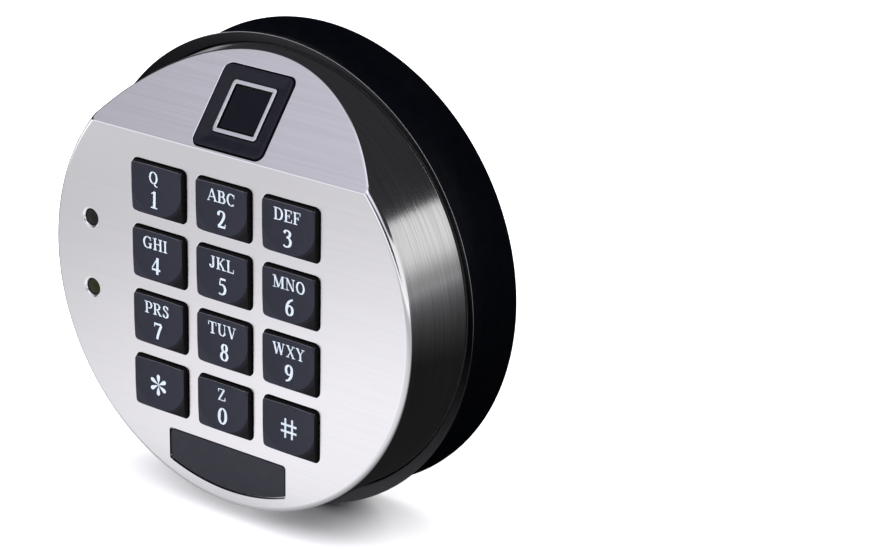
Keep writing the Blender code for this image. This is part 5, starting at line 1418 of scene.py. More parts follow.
# Each sign's width and strokes, in cap heights. l is a line, t a thin line, s a smooth line, o an oval from one
# angle to another and h a thin bar from one x to another at a height.
GLYPHS = {
    "A": (0.90, "t .10 0 .45 1", "l .45 1 .80 0", "h .22 .65 .34", "h 0 .24 .03", "h .62 .95 .03"),
    "B": (
        0.78, "l .18 0 .18 1", "h 0 .42 .97", "h .18 .45 .52", "h 0 .45 .03", "o .40 .75 .20 .23 90 -90",
        "o .43 .27 .24 .25 90 -90",
    ),
    "C": (0.84, "o .45 .5 .34 .47 48 312", "t .74 .98 .74 .68"),
    "D": (0.86, "l .18 0 .18 1", "h 0 .42 .97", "h 0 .42 .03", "o .40 .5 .35 .47 90 -90"),
    "E": (
        0.76, "l .18 0 .18 1", "h 0 .66 .97", "h .18 .48 .52", "h 0 .68 .03", "t .66 1 .66 .74",
        "t .48 .66 .48 .38", "t .68 0 .70 .28",
    ),
    "F": (
        0.72, "l .18 0 .18 1", "h 0 .66 .97", "h .18 .48 .52", "h 0 .38 .03", "t .66 1 .66 .74",
        "t .48 .66 .48 .38",
    ),
    "G": (0.92, "o .45 .5 .34 .47 48 318", "t .74 .98 .74 .68", "l .72 .40 .72 .03", "h .54 .88 .42"),
    "H": (
        0.92, "l .18 0 .18 1", "l .72 0 .72 1", "h .18 .72 .52", "h 0 .36 .97", "h 0 .36 .03", "h .54 .90 .97",
        "h .54 .90 .03",
    ),
    "I": (0.42, "l .20 0 .20 1", "h .02 .38 .97", "h .02 .38 .03"),
    "J": (0.56, "l .34 1 .34 .24", "o .20 .24 .14 .20 0 -190", "h .16 .52 .97"),
    "K": (
        0.90, "l .18 0 .18 1", "t .70 .97 .22 .42", "l .36 .58 .72 0", "h 0 .36 .97", "h 0 .36 .03",
        "h .56 .82 .97", "h .56 .90 .03",
    ),
    "L": (0.74, "l .18 0 .18 1", "h 0 .36 .97", "h 0 .66 .03", "t .67 0 .69 .30"),
    "M": (
        1.08, "t .16 0 .16 1", "l .18 1 .52 .06", "t .52 .06 .86 1", "l .88 0 .88 1", "h 0 .24 .97",
        "h 0 .32 .03", "h .84 1.06 .97", "h .72 1.06 .03",
    ),
    "N": (0.88, "t .15 0 .15 1", "l .15 1 .72 .03", "t .73 .03 .73 1", "h 0 .24 .97", "h 0 .30 .03", "h .58 .88 .97"),
    "O": (0.90, "o .45 .5 .33 .47 0 360"),
    "P": (0.74, "l .18 0 .18 1", "h 0 .42 .97", "h .18 .42 .44", "h 0 .38 .03", "o .40 .70 .24 .27 90 -90"),
    "Q": (0.90, "o .45 .5 .33 .47 0 360", "s .36 .04 .52 .0 .66 -.16 .84 -.22"),
    "R": (
        0.86, "l .18 0 .18 1", "h 0 .42 .97", "h .18 .42 .48", "h 0 .36 .03", "o .40 .73 .22 .25 90 -90",
        "l .40 .48 .68 0", "h .58 .86 .03",
    ),
    "S": (
        0.66,
        "s .50 .82 .40 .96 .26 .97 .14 .88 .14 .73 .28 .60 .44 .46 .52 .30 .46 .10 .30 .02 .16 .06 .08 .20",
        "t .54 .98 .54 .72", "t .06 .02 .06 .30",
    ),
    "T": (0.80, "l .40 0 .40 1", "h .04 .76 .97", "t .05 1 .05 .70", "t .75 1 .75 .70", "h .20 .60 .03"),
    "U": (0.88, "l .18 1 .18 .32", "o .44 .32 .26 .29 180 360", "t .70 .32 .70 1", "h 0 .36 .97", "h .56 .86 .97"),
    "V": (0.86, "l .14 1 .45 .02", "t .45 .02 .74 1", "h 0 .32 .97", "h .58 .86 .97"),
    "W": (
        1.16, "l .12 1 .36 .02", "t .36 .02 .56 .90", "l .56 .98 .80 .02", "t .80 .02 1.0 1", "h 0 .28 .97",
        "h .42 .68 .97", "h .88 1.12 .97",
    ),
    "X": (0.86, "l .14 1 .70 0", "t .12 0 .70 1", "h 0 .32 .97", "h .54 .84 .97", "h 0 .28 .03", "h .54 .86 .03"),
    "Y": (
        0.82, "l .12 1 .42 .46", "t .42 .46 .70 1", "l .42 .48 .42 0", "h 0 .30 .97", "h .54 .82 .97",
        "h .24 .60 .03",
    ),
    "Z": (0.74, "h .08 .66 .97", "l .62 .96 .10 .04", "h .04 .68 .03", "t .08 1 .06 .72", "t .68 0 .70 .30"),
    "0": (0.80, "o .40 .5 .26 .46 0 360", "l .17 .34 .17 .66", "l .63 .34 .63 .66"),
    "1": (0.60, "l .34 0 .34 1", "t .34 .98 .12 .84", "h .10 .58 .03"),
    "2": (
        0.68, "s .10 .72 .14 .90 .30 .97 .48 .90 .52 .72 .44 .50 .28 .26 .12 .08", "l .10 .07 .58 .07",
        "t .58 .0 .64 .26",
    ),
    "3": (
        0.72, "s .10 .80 .20 .94 .36 .96 .50 .86 .48 .68 .30 .56",
        "s .28 .56 .46 .52 .57 .34 .50 .12 .28 .02 .08 .10",
    ),
    "4": (0.70, "t .46 1 .06 .34", "h .06 .68 .29", "h .06 .68 .25", "l .46 0 .46 1"),
    "5": (
        0.66, "l .18 .92 .56 .92", "t .18 .96 .12 .56",
        "s .14 .56 .30 .60 .46 .52 .54 .32 .46 .10 .28 .02 .08 .06",
    ),
    "6": (0.68, "o .35 .30 .21 .27 0 360", "s .56 .97 .34 .84 .18 .62 .13 .36"),
    "7": (0.64, "l .08 .91 .58 .91", "s .58 .88 .44 .56 .34 .28 .28 0", "t .08 .98 .06 .72"),
    "8": (0.68, "o .34 .76 .17 .21 0 360", "o .34 .27 .22 .25 0 360"),
    "9": (0.68, "o .33 .69 .21 .28 0 360", "s .54 .62 .50 .36 .36 .14 .14 .02"),
    "#": (
        1.0, "t .27 0 .27 1", "t .31 0 .31 1", "t .68 0 .68 1", "t .72 0 .72 1", "h .03 .97 .31",
        "h .03 .97 .35", "h .03 .97 .65", "h .03 .97 .69",
    ),
}
# Widths of thick and thin strokes and the room between signs, in cap heights.
THICK = 0.175
THIN = 0.07
TRACKING = 0.08
# How far the ink reaches down into the cap, in thicknesses of the ink.
INK_ROOT = 1.5
# How far each key's digit and letters are printed to the right of the key's middle, in keypad order.
SIGN_SHIFTS = (
    -0.00070, -0.00007, -0.00036, -0.00056, 0.00007, 0.00018,
    -0.00028, 0.00038, -0.00001, -0.00053, -0.00028, -0.00008,
)
LETTER_SHIFTS = (
    -0.00094, -0.00025, -0.00046, -0.00074, -0.00018, -0.00003,
    -0.00060, -0.00016, -0.00007, 0.0, -0.00050, 0.0,
)


def smooth_line(points, steps=8):
    """Spots on a smooth line through the given points."""
    ends = [points[0] * 2 - points[1]] + points + [points[-1] * 2 - points[-2]]
    line = []
    for index in range(1, len(ends) - 2):
        before, start, end, after = ends[index - 1 : index + 3]
        for step in range(steps):
            part = step / steps
            bend = (before * -1 + start * 3 - end * 3 + after) * part**3
            turn = (before * 2 - start * 5 + end * 4 - after) * part**2
            line.append(start + ((end - before) * part + bend + turn) / 2)
    return line + [points[-1]]


def stroke_line(kind, values, spread):
    """The spots along the middle of a stroke."""
    if kind == "h":
        line = [Vector((values[0], values[2])), Vector((values[1], values[2]))]
    elif kind == "o":
        start, end = radians(values[4]), radians(values[5])
        steps = max(6, int(abs(end - start) / radians(9)))
        line = []
        for step in range(steps + 1):
            turn = start + (end - start) * step / steps
            line.append(Vector((values[0] + values[2] * cos(turn), values[1] + values[3] * sin(turn))))
    else:
        line = [Vector(values[index : index + 2]) for index in range(0, len(values), 2)]
        if kind == "s":
            line = smooth_line(line)
    return [Vector((spot.x * spread, spot.y)) for spot in line]


def stroke_quads(stroke, spread):
    """The four-cornered pieces that make up one stroke."""
    kind, *numbers = stroke.split()
    values = [float(number) for number in numbers]
    line = stroke_line(kind, values, spread)
    whole = kind == "o" and abs(values[5] - values[4]) == 360
    edges = []
    for index, spot in enumerate(line):
        before = line[max(index - 1, 0)]
        after = line[min(index + 1, len(line) - 1)]
        if whole:
            before = line[index - 1] if index else line[-2]
            after = line[index + 1] if index < len(line) - 1 else line[1]
        way = (after - before).normalized()
        width = THIN if kind in "ht" else THIN + (THICK - THIN) * abs(way.y) ** 1.3
        if kind == "l" and abs(way.y) < 0.1:
            width = THICK * 0.7
        side = Vector((-way.y, way.x)) * width / 2
        edges.append((spot + side, spot - side))
    return [[right, far_right, far_left, left] for (left, right), (far_left, far_right) in zip(edges, edges[1:])]


def text_quads(text, height, centre, spread=1.0):
    """The pieces of a line of signs, centred on a spot. Spread widens the signs but not their strokes."""
    advance = 0.0
    quads = []
    for sign in text:
        width, *strokes = GLYPHS[sign]
        for stroke in strokes:
            for quad in stroke_quads(stroke, spread):
                quads.append([Vector((spot.x + advance, spot.y)) for spot in quad])
        advance += width * spread + TRACKING
    left = min(spot.x for quad in quads for spot in quad)
    right = max(spot.x for quad in quads for spot in quad)
    middle = Vector(((left + right) / 2, 0.5))
    return [[(spot - middle) * height + Vector(centre) for spot in quad] for quad in quads]


def printed(name, quads):
    """Ink of its own thickness over a cap's head, with the pieces joined into one skin."""
    thickness = settings().legends.print_height
    grid = settings().legends.grid
    face = settings().housing.face_height
    spots = []
    faces = []
    for quad in quads:
        faces.append(list(range(len(spots), len(spots) + len(quad))))
        spots += quad
    low = Vector((min(spot.x for spot in spots), min(spot.y for spot in spots)))
    high = Vector((max(spot.x for spot in spots), max(spot.y for spot in spots)))
    for row in range(int((high.y - low.y) / grid) + 1):
        for column in range(int((high.x - low.x) / grid) + 1):
            spots.append(low + Vector((column * grid + grid * 0.31, row * grid + grid * 0.27)))
    verts, _, triangles, _, _, origins = delaunay_2d_cdt(spots, [], faces, 0, MERGE / 10)
    bm = bmesh.new()
    top = [bm.verts.new((spot.x, spot.y, face + head_height(spot.x, spot.y) + thickness)) for spot in verts]
    for triangle, origin in zip(triangles, origins):
        if origin:
            bm.faces.new([top[index] for index in triangle])
    bmesh.ops.delete(bm, geom=[item for item in bm.verts if not item.link_faces], context="VERTS")
    result = bmesh.ops.extrude_face_region(bm, geom=bm.faces[:], use_keep_orig=True)
    for item in result["geom"]:
        if isinstance(item, bmesh.types.BMVert):
            item.co.z -= thickness * INK_ROOT
    return scene_object(name, mesh_from(name, bm))


def petal_mesh(rows=18):
    """One petal: round outside and drawn to a point at the star's middle."""
    legends = settings().legends
    foot = -legends.print_height * INK_ROOT
    reach = legends.star_reach
    rings = []
    for row in range(rows + 1):
        part = row / rows
        neck = min(part / 0.85, 1.0)
        end = max(part - 0.72, 0.0) / 0.28
        half = legends.petal_width / 2 * (0.1 + 0.9 * neck**2 * (3 - 2 * neck)) * sqrt(1 - end**2)
        border = ((-half, 0.0), (0.0, 0.0), (half, 0.0), (half, foot), (0.0, foot), (-half, foot))
        rings.append([(x, reach * part, z) for x, z in border])
    return skinned("petal", rings)


def star_sign(name, across):
    keys = settings().keys
    legends = settings().legends
    low = settings().housing.face_height + keys.proud - keys.dish_depth + legends.print_height
    values = {
        "Petals": legends.petals,
        "Dish Sphere": dish_sphere(),
        "Dish Middle": (0.0, keys.dish_rise, 0.0),
        "Star Middle": (across, legends.star_rise, low),
    }
    return grown(name, petal_mesh(), "star_petals", "legend_print", values)


def build_legends():
    legends = settings().legends
    for index, (key, place) in enumerate(zip(KEY_NAMES, key_places())):
        name = "legend_" + key
        across = SIGN_SHIFTS[index]
        if key == "star":
            sign = star_sign(name, across)
        elif key == "hash":
            sign = printed(name, text_quads("#", legends.hash_height, (across, legends.hash_rise)))
        else:
            over = (LETTER_SHIFTS[index], legends.letter_rise)
            quads = text_quads(KEY_LETTERS[index], legends.letter_height, over, legends.spread)
            quads += text_quads(key, legends.digit_height, (across, -legends.digit_drop))
            sign = printed(name, quads)
        piece(sign, "legend_print", place=key_matrix(place), body="key_" + key)


# Reader


def reader_piece(name, rings, surface, node_name, closed=True):
    made = shaded(scene_object(name, skinned(name, rings, closed)), radians(35))
    piece(made, surface, [node_name], PANEL @ leaning())


def build_bezel(reader, middle, sensor, pocket_top):
    """The dished surround with its flange, and the pocket for the sensor."""
    flange_foot, flange_top = flange_heights()
    floor = reader.proud - reader.dish_depth
    edge = reader.edge
    lip_height = reader.height + reader.flange_top_lip - GAP
    lip = rounded_rectangle(reader.width + 2 * reader.flange_lip, lip_height, reader.corner)
    lip_middle = (0.0, middle[1] + (reader.flange_top_lip + GAP) / 2)
    bezel = narrowing(reader.width, reader.height, reader.corner, 0.8)
    width = reader.frame_width + 2 * reader.seam
    height = reader.frame_height + 2 * reader.seam
    dish = narrowing(width + 2 * reader.dish_margin, height + 2 * reader.dish_margin, reader.frame_corner)
    mouth = narrowing(width, height, reader.frame_corner + reader.seam)
    room = rounded_rectangle(reader.board_width + 2 * GAP, reader.board_height + 2 * GAP, reader.board_corner)
    rings = [
        level(lip, flange_foot, lip_middle),
        level(lip, flange_top, lip_middle),
        level(bezel(0.0), flange_top, middle),
        *rounded_top(bezel, reader.proud, edge, middle),
        level(bezel(reader.rim - edge), reader.proud, middle),
        level(bezel(reader.rim), reader.proud - edge * 0.25, middle),
        level(dish(0.0), floor + edge * 0.2, middle),
        level(dish(edge / 2), floor, middle),
        level(mouth(-edge / 2), floor, sensor),
        level(mouth(0.0), floor - edge * 0.5, sensor),
        level(mouth(0.0), pocket_top, sensor),
        level(room, pocket_top, sensor),
        level(room, flange_foot, sensor),
    ]
    reader_piece("bezel", rings, "bezel_black", "sensor_bezel")


def build_sensor(reader, sensor, foot):
    """The metal frame and the pad inside it."""
    soft = reader.soft
    width = reader.frame_width - 2 * reader.band
    height = reader.frame_height - 2 * reader.band
    outside = narrowing(reader.frame_width, reader.frame_height, reader.frame_corner)
    inside = narrowing(width, height, reader.pad_corner)
    rings = [level(outside(0.0), foot, sensor), *rounded_top(outside, 0.0, soft, sensor)]
    rings += [level(inside(-soft * down), -soft * across, sensor) for across, down in LIP_CURVE]
    rings.append(level(inside(0.0), foot, sensor))
    reader_piece("sensor_trim", rings, "silver_trim", "sensor_frame")
    pad = narrowing(width - 2 * GAP, height - 2 * GAP, reader.pad_corner)
    rings = [level(pad(0.0), foot, sensor), *rounded_top(pad, -reader.pad_sink, soft, sensor)]
    reader_piece("sensing_pad", rings, "sensor_coating", "sensor_pad", closed=False)


def build_reader():
    reader = settings().reader
    middle = (0.0, reader.offset + reader.height / 2)
    sensor = (0.0, middle[1] + reader.rise)
    pocket_top = reader.proud - reader.dish_depth - reader.window_wall
    build_bezel(reader, middle, sensor, pocket_top)
    build_sensor(reader, sensor, pocket_top)


# Base ring and lamps


def wear(face, base):
    """How far a face of the base is rubbed: its shoulder's outer edge most, and the shoulder at the sides."""
    high = face.center.z > base.edge_height - 2 * base.edge_round
    lean = hypot(face.normal.x, face.normal.y) if high and face.normal.z > 0 else 0.0
    outward = face.normal.x * face.center.x + face.normal.y * face.center.y > 0
    if outward and 0.2 < lean < 0.95:
        return min(max(face.center.y / 0.02 + 0.25, 0.0), 1.0) * 0.9 + 0.1
    if face.normal.z > 0.5 and hypot(face.center.x, face.center.y) > base.inner_radius:
        return (0.12 if face.center.y > 0 else 0.68) * (face.center.y / base.edge_radius) ** 2
    return 0.0


def build_base():
    base = settings().base
    top = base.edge_height - base.edge_round
    collar = base.spigot_radius - base.spigot_wall
    shoulder = [
        (base.spigot_radius, base.spigot_top),
        (base.spigot_radius, base.groove),
        (base.inner_radius, base.groove),
        (base.inner_radius, base.inner_height),
        (base.edge_radius, base.edge_height),
        (base.edge_radius, top - base.edge_round),
    ]
    shoulder = softened(shoulder, base.edge_round, closed=False, steps=5, least=radians(30))
    parts = [step / base.waist_steps for step in range(1, base.waist_steps)]
    side = []
    for part in parts:
        radius = base.edge_radius + (base.rim_radius - base.edge_radius) * part
        side.append((radius, top + (base.rim_height - top) * part))
    inside = [
        (base.rim_radius, base.rim_height),
        (base.rim_radius - base.chamfer * 0.15, base.chamfer),
        (base.rim_radius - base.chamfer, 0.0),
        (base.plate_radius, 0.0),
        (base.plate_radius, base.plate_seat),
        (base.wall_radius, base.plate_seat),
        (base.wall_radius, base.shelf),
        (collar, base.shelf),
        (collar, base.spigot_top),
    ]
    waist = [0.0] * len(shoulder) + parts + [0.0] * len(inside)
    ring = turned("base", shoulder + side + inside, BODY_SEGMENTS, "black_abs", base.waist_depth, waist)
    gate = rounded_rectangle(base.notch_width, 2 * base.spigot_wall + base.notch_reach, base.notch_corner)
    heights = (base.notch_floor, base.spigot_top + OVERRUN)
    combined(ring, skinned("notch", [level(gate, height, (0.0, collar)) for height in heights]), "DIFFERENCE")
    cleaned(ring)
    # Painted highlight on the shoulder's edge and painted reflection on the shoulder.
    marked(ring.data, "worn", "FACE", [wear(face, base) for face in ring.data.polygons])
    piece(shaded(ring, radians(35)), "black_abs", ["base_ring"])
    ring.visible_glossy = False


def build_lamps():
    lamps = settings().lamps
    top = settings().housing.face_height - lamps.sink
    foot = settings().housing.board_post_foot
    dome = lamps.lens_dome
    reach = asin(lamps.lens_radius / dome)
    shoulder = top - dome * (1 - cos(reach)) - lamps.head_height
    neck = lamps.lens_radius - lamps.step
    profile = arc((0.0, top - dome), dome, pi / 2, pi / 2 - reach, 10)
    profile += [(lamps.lens_radius, shoulder), (neck, shoulder - lamps.step), (neck, foot + lamps.flange_height)]
    profile += [(lamps.flange_radius, foot + lamps.flange_height), (lamps.flange_radius, foot), (0.0, foot)]
    for side, surface, place in zip(("upper", "lower"), ("lamp_dark", "lamp_green"), lamp_places()):
        lens = shaded(turned("lens_" + side, profile, SMALL_SEGMENTS, surface))
        piece(lens, surface, ["lamp_" + side], key_matrix(place))


# Screws

# The cross recess: half width and reach of its arms in head radii, the size of its floor against its mouth, and
# the height of that floor in head heights.
CROSS_ARM = 0.13
CROSS_REACH = 0.56
CROSS_FLOOR = 0.55
CROSS_RISE = 0.35
THREAD_DEPTH = 0.35
# The small screws' pitch against the housing screws'.
FINE_THREAD = 0.8


def screw_mesh(shank, head, head_rise, shank_length, thread):
    """A screw that points up from its head's seat, with rings of thread and a cross recess."""
    shoulder = head_rise / 2
    profile = [(0.0, shank_length), (shank * 0.5, shank_length)]
    height = shank_length - thread
    while height > thread * 1.5:
        profile += [(shank, height), (shank - thread * THREAD_DEPTH, height - thread / 2)]
        height -= thread
    profile += [(shank, thread * 0.5), (shank, 0.0), (head - thread * 0.1, 0.0), (head, -thread * 0.1)]
    profile += arc((head - shoulder, -head_rise + shoulder), shoulder, 0.0, -pi / 2, CORNER_STEPS)
    profile.append((0.0, -head_rise))
    screw = scene_object("screw", lathed("screw", profile, BORE_SEGMENTS))
    arm = head * CROSS_ARM
    reach = head * CROSS_REACH
    cross = [(reach, arm), (arm, arm), (arm, reach), (-arm, reach), (-arm, arm), (-reach, arm)]
    cross += [(-x, -y) for x, y in cross]
    floor = level([(x * CROSS_FLOOR, y * CROSS_FLOOR) for x, y in cross], -head_rise * CROSS_RISE)
    recess = skinned("recess", [level(cross, -head_rise - OVERRUN / 4), level(cross, -head_rise), floor])
    combined(screw, recess, "DIFFERENCE")
    return shaded(screw, radians(32))


def placed_screws(name, sizes, places, seat, matrix, nodes):
    """A group of like screws as one piece. The sizes are those that a screw is drawn from."""
    screw = screw_mesh(*sizes)
    points = drawn_mesh(name, [(x, y, seat) for x, y in places])
    values = {"Fastener": screw, "Largest Turn": 2 * pi, "Seed": settings().fasteners.seed}
    piece(grown(name, points, "placed_fasteners", "steel_screw", values), "steel_screw", nodes, matrix)
    discard(screw)


def build_fasteners():
    sizes = settings().fasteners
    reader = settings().reader
    large = (sizes.housing_shank, sizes.housing_head, sizes.housing_head_height, sizes.housing_length, sizes.thread)
    small = (sizes.small_shank, sizes.small_head, sizes.small_head_height)
    fine = sizes.thread * FINE_THREAD
    seat = settings().plate.head_sink + sizes.housing_head_height
    placed_screws("housing_screws", large, node_places(HOUSING_SCREWS), seat, PANEL, HOUSING_SCREWS)
    low, high = flat_box(BOARD_SCREWS[0])
    seat = low[2] + sizes.small_head_height
    board = (*small, high[2] - seat, fine)
    placed_screws("board_screws", board, node_places(BOARD_SCREWS), seat, PANEL, BOARD_SCREWS)
    seat = -settings().housing.wall - 2 * GAP - reader.flange_thickness - reader.clamp_thickness - GAP
    clamp = (*small, reader.clamp_screw, fine)
    placed_screws("clamp_screws", clamp, clamp_places(), seat, PANEL @ leaning(), CLAMP_SCREWS)


# Back plate, boards and battery

# Each piece that follows its CAD solid: its name, the solid's node, its surface, the width and steps of the
# rounding of its edges, and whether its surface is plain.
BOARD_PIECES = (
    ("circuit_board", "main_board", "board_green", 0.0001, 2),
    ("membrane", "key_mat", "silicone", 0.00012, 2),
    ("reader_board", "sensor_board", "board_green", 0.0001, 2),
    ("retaining_bar", "sensor_clamp", "steel_screw", 0.00015, 2),
    ("connection_film", "sensor_flex", "flex_film", 0.00004, 1),
    ("cable_socket", "lock_socket", "socket_white", 0.0001, 2),
    ("film_socket", "flex_socket", "socket_white", 0.0001, 2),
    ("processor", "control_chip", "chip_black", 0.0002, 2),
)
BATTERY_PIECES = (
    ("power_cell", "battery", "battery_wrap", 0.0004, 3),
    ("terminal_cap", "battery_clip", "chip_black", 0.0002, 2, True),
    ("cell_cushion", "battery_pad", "foam", 0.0006, 3),
)


def refined(name, source, surface, width, segments, plain=False):
    """A piece that follows its CAD solid, with its points merged and its edges rounded."""
    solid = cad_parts[source]
    mesh = moved(solid.data.copy(), solid.matrix_world)
    mesh.materials.clear()
    with edited(mesh) as bm:
        bmesh.ops.remove_doubles(bm, verts=bm.verts, dist=MERGE / 5)
        bmesh.ops.dissolve_limit(bm, angle_limit=radians(0.5), verts=bm.verts, edges=bm.edges)
        bmesh.ops.recalc_face_normals(bm, faces=bm.faces)
    obj = scene_object(name, mesh)
    rounding = obj.modifiers.new("rounding", "BEVEL")
    rounding.width = width
    rounding.segments = segments
    rounding.limit_method = "ANGLE"
    rounding.angle_limit = radians(38)
    rounding.use_clamp_overlap = True
    piece(shaded(settled(obj), radians(32)), surface, [source], Matrix(), plain=plain)


def round_piece(name, source, surface, profile, segments=SMALL_SEGMENTS * 2):
    """A turned piece at the place of its CAD node."""
    piece(shaded(turned(name, profile, segments, surface)), surface, [source], key_matrix(node_middle(source)))


def battery_bay(plate):
    """The walls round the battery."""
    low, high = flat_box("battery")
    end = flat_box("battery_clip")[1][0]
    width = end - low[0] + 2 * GAP
    height = high[1] - low[1] + 2 * GAP
    middle = ((end + low[0]) / 2, (high[1] + low[1]) / 2)
    rooted = plate.thickness / 2
    outer = rounded_rectangle(width + 2 * plate.bay_wall, height + 2 * plate.bay_wall, plate.bay_wall * 0.3)
    inner = rounded_rectangle(width, height, plate.bay_wall * 0.2)
    walls = [level(outer, rooted, middle), level(outer, plate.bay_top, middle)]
    walls += [level(inner, plate.bay_top, middle), level(inner, rooted, middle)]
    return skinned("bay", walls, closed=True)


def hole_through(radius, lip, steps):
    """A hole with a chamfered mouth in the plate's back. The steps hold radius and height up to its end."""
    profile = [(0.0, -OVERRUN), (radius + lip + OVERRUN, -OVERRUN), (radius, lip), *steps, (0.0, steps[-1][1])]
    return lathed("hole", profile, SMALL_SEGMENTS)


def plate_holes(plate):
    fasteners = settings().fasteners
    bore = fasteners.housing_shank + GAP
    sink = fasteners.housing_head + GAP
    seat = plate.head_sink + fasteners.housing_head_height + GAP
    counterbore = [(sink, seat), (bore, seat), (bore, plate.boss_top + OVERRUN)]
    cable_up = node_middle("cable_grommet")[1]
    mounts = ((-plate.mount_across, cable_up), (plate.mount_across, cable_up))
    holes = [repeated(hole_through(sink, plate.chamfer, counterbore), node_places(HOUSING_SCREWS))]
    for radius, places in ((plate.mount_radius, mounts), (plate.cable_radius, ((0.0, cable_up),))):
        end = [(radius, plate.thickness + OVERRUN)]
        holes.append(repeated(hole_through(radius, plate.chamfer, end), places))
    return merged("holes", holes)


def build_bush(plate):
    """The bush of the cable's hole."""
    low, high = flat_box("cable_grommet")
    bore, flange, neck = plate.bush_bore, plate.bush_flange, plate.cable_radius - GAP
    flange_foot = plate.thickness + GAP
    flange_top = flange_foot + plate.bush_flange_height
    profile = [(bore, high[2]), (neck, high[2]), (neck, flange_top), (flange, flange_top), (flange, flange_foot)]
    profile += [(neck, flange_foot), (neck, low[2]), (bore, low[2])]
    profile = softened(profile, plate.bush_round, steps=3, least=radians(30))
    round_piece("cable_bush", "cable_grommet", "seal_rubber", profile)


def build_seal():
    """The seal between housing and base."""
    base = settings().base
    low, high = flat_box("seal_ring")
    inner, outer = base.spigot_radius + GAP, base.inner_radius - GAP
    profile = [(inner, high[2]), (outer, high[2]), (outer, low[2]), (inner, low[2])]
    profile = softened(profile, base.seal_round, steps=3, least=radians(30))
    seal = shaded(turned("joint_seal", profile, BODY_SEGMENTS, "seal_rubber"))
    piece(seal, "seal_rubber", ["seal_ring"])


def build_back_plate():
    plate = settings().plate
    edge = plate.radius - plate.chamfer
    outline = [(0.0, 0.0), (edge, 0.0), (plate.radius, plate.chamfer)]
    outline += [(plate.radius, plate.thickness - plate.chamfer), (edge, plate.thickness), (0.0, plate.thickness)]
    back = scene_object("rear_cover", lathed("rear_cover", outline, BODY_SEGMENTS))
    boss = cylinder(plate.boss_radius, plate.thickness / 2, plate.boss_top)
    combined(back, repeated(boss, node_places(HOUSING_SCREWS)), "UNION")
    combined(back, battery_bay(plate), "UNION")
    combined(back, plate_holes(plate), "DIFFERENCE")
    cleaned(back)
    piece(shaded(back, radians(35)), "black_abs", ["back_plate"], plain=True)
    build_bush(plate)
    build_seal()


def chip_legs():
    """Bent legs along all four sides of the chip that hangs from the board."""
    size = settings().inside.lead_size
    count = settings().inside.leads_per_side
    low, high = flat_box("control_chip")
    pitch = (high[0] - low[0]) / (count + 1)
    half = (high[0] - low[0]) / 2
    rings = []
    for away, rise in ((-size, -2.2 * size), (size, -2.2 * size), (2 * size, -size * 0.6), (3.2 * size, -size * 0.5)):
        height = high[2] + rise
        ring = [(away, -size / 2, height), (away, size / 2, height)]
        rings.append(ring + [(away, size / 2, height + size / 2), (away, -size / 2, height + size / 2)])
    places = [(half, (index - (count - 1) / 2) * pitch) for index in range(count)]
    legs = []
    for side in range(4):
        row = repeated(skinned("leg", rings), places)
        legs.append(moved(row, shift(node_middle("control_chip")) @ Matrix.Rotation(side * pi / 2, 4, "Z")))
    return merged("legs", legs)


def build_board():
    for row in BOARD_PIECES:
        refined(*row)
    piece(shaded(scene_object("processor_legs", chip_legs())), "steel_screw", plain=True)
    inside = settings().inside
    low, high = flat_box("buzzer")
    radius = (high[0] - low[0]) / 2
    port = radius * 0.22
    end = low[2] + inside.sounder_port_depth
    profile = [(0.0, high[2]), (radius, high[2]), (radius, low[2]), (port, low[2]), (port, end), (0.0, end)]
    profile = softened(profile, inside.sounder_round, closed=False, steps=4, least=radians(30))
    round_piece("sounder", "buzzer", "chip_black", profile)


def build_lead(tone):
    """One of the battery's two leads, with a bend at each end of its run."""
    inside = settings().inside
    bend = inside.lead_bend
    low, high = flat_box("battery_lead_" + tone)
    radius = (high[0] - low[0]) / 2
    across = (low[0] + high[0]) / 2
    begin, end = low[1] + radius, high[1] - radius
    run = low[2] + inside.lead_drop + bend
    lower = arc((begin + bend, run - bend), bend, pi, pi / 2, 10)
    upper = arc((end - bend, run + bend), bend, -pi / 2, 0.0, 10)
    route = [(across, along, height) for along, height in [(begin, low[2]), *lower, *upper, (end, high[2])]]
    path = drawn_mesh("lead_" + tone, route, [(index, index + 1) for index in range(len(route) - 1)])
    lead = grown("lead_" + tone, path, "sleeved_lead", "sleeve_" + tone, {"Radius": radius})
    with edited(lead.data) as bm:
        bmesh.ops.remove_doubles(bm, verts=bm.verts, dist=MERGE / 10)
        bmesh.ops.recalc_face_normals(bm, faces=bm.faces)
    piece(shaded(lead), "sleeve_" + tone, ["battery_lead_" + tone])


def build_battery():
    for row in BATTERY_PIECES:
        refined(*row)
    for tone in ("red", "black"):
        build_lead(tone)


# Stage


def build_floor():
    half = settings().stage.floor_size / 2
    drop = floor_level()
    corners = [(-half, -half, drop), (half, -half, drop), (half, half, drop), (-half, half, drop)]
    floor = scene_object("floor", drawn_mesh("floor", corners, faces=[(0, 1, 2, 3)]))
    floor.data.materials.append(finish("floor_paper"))


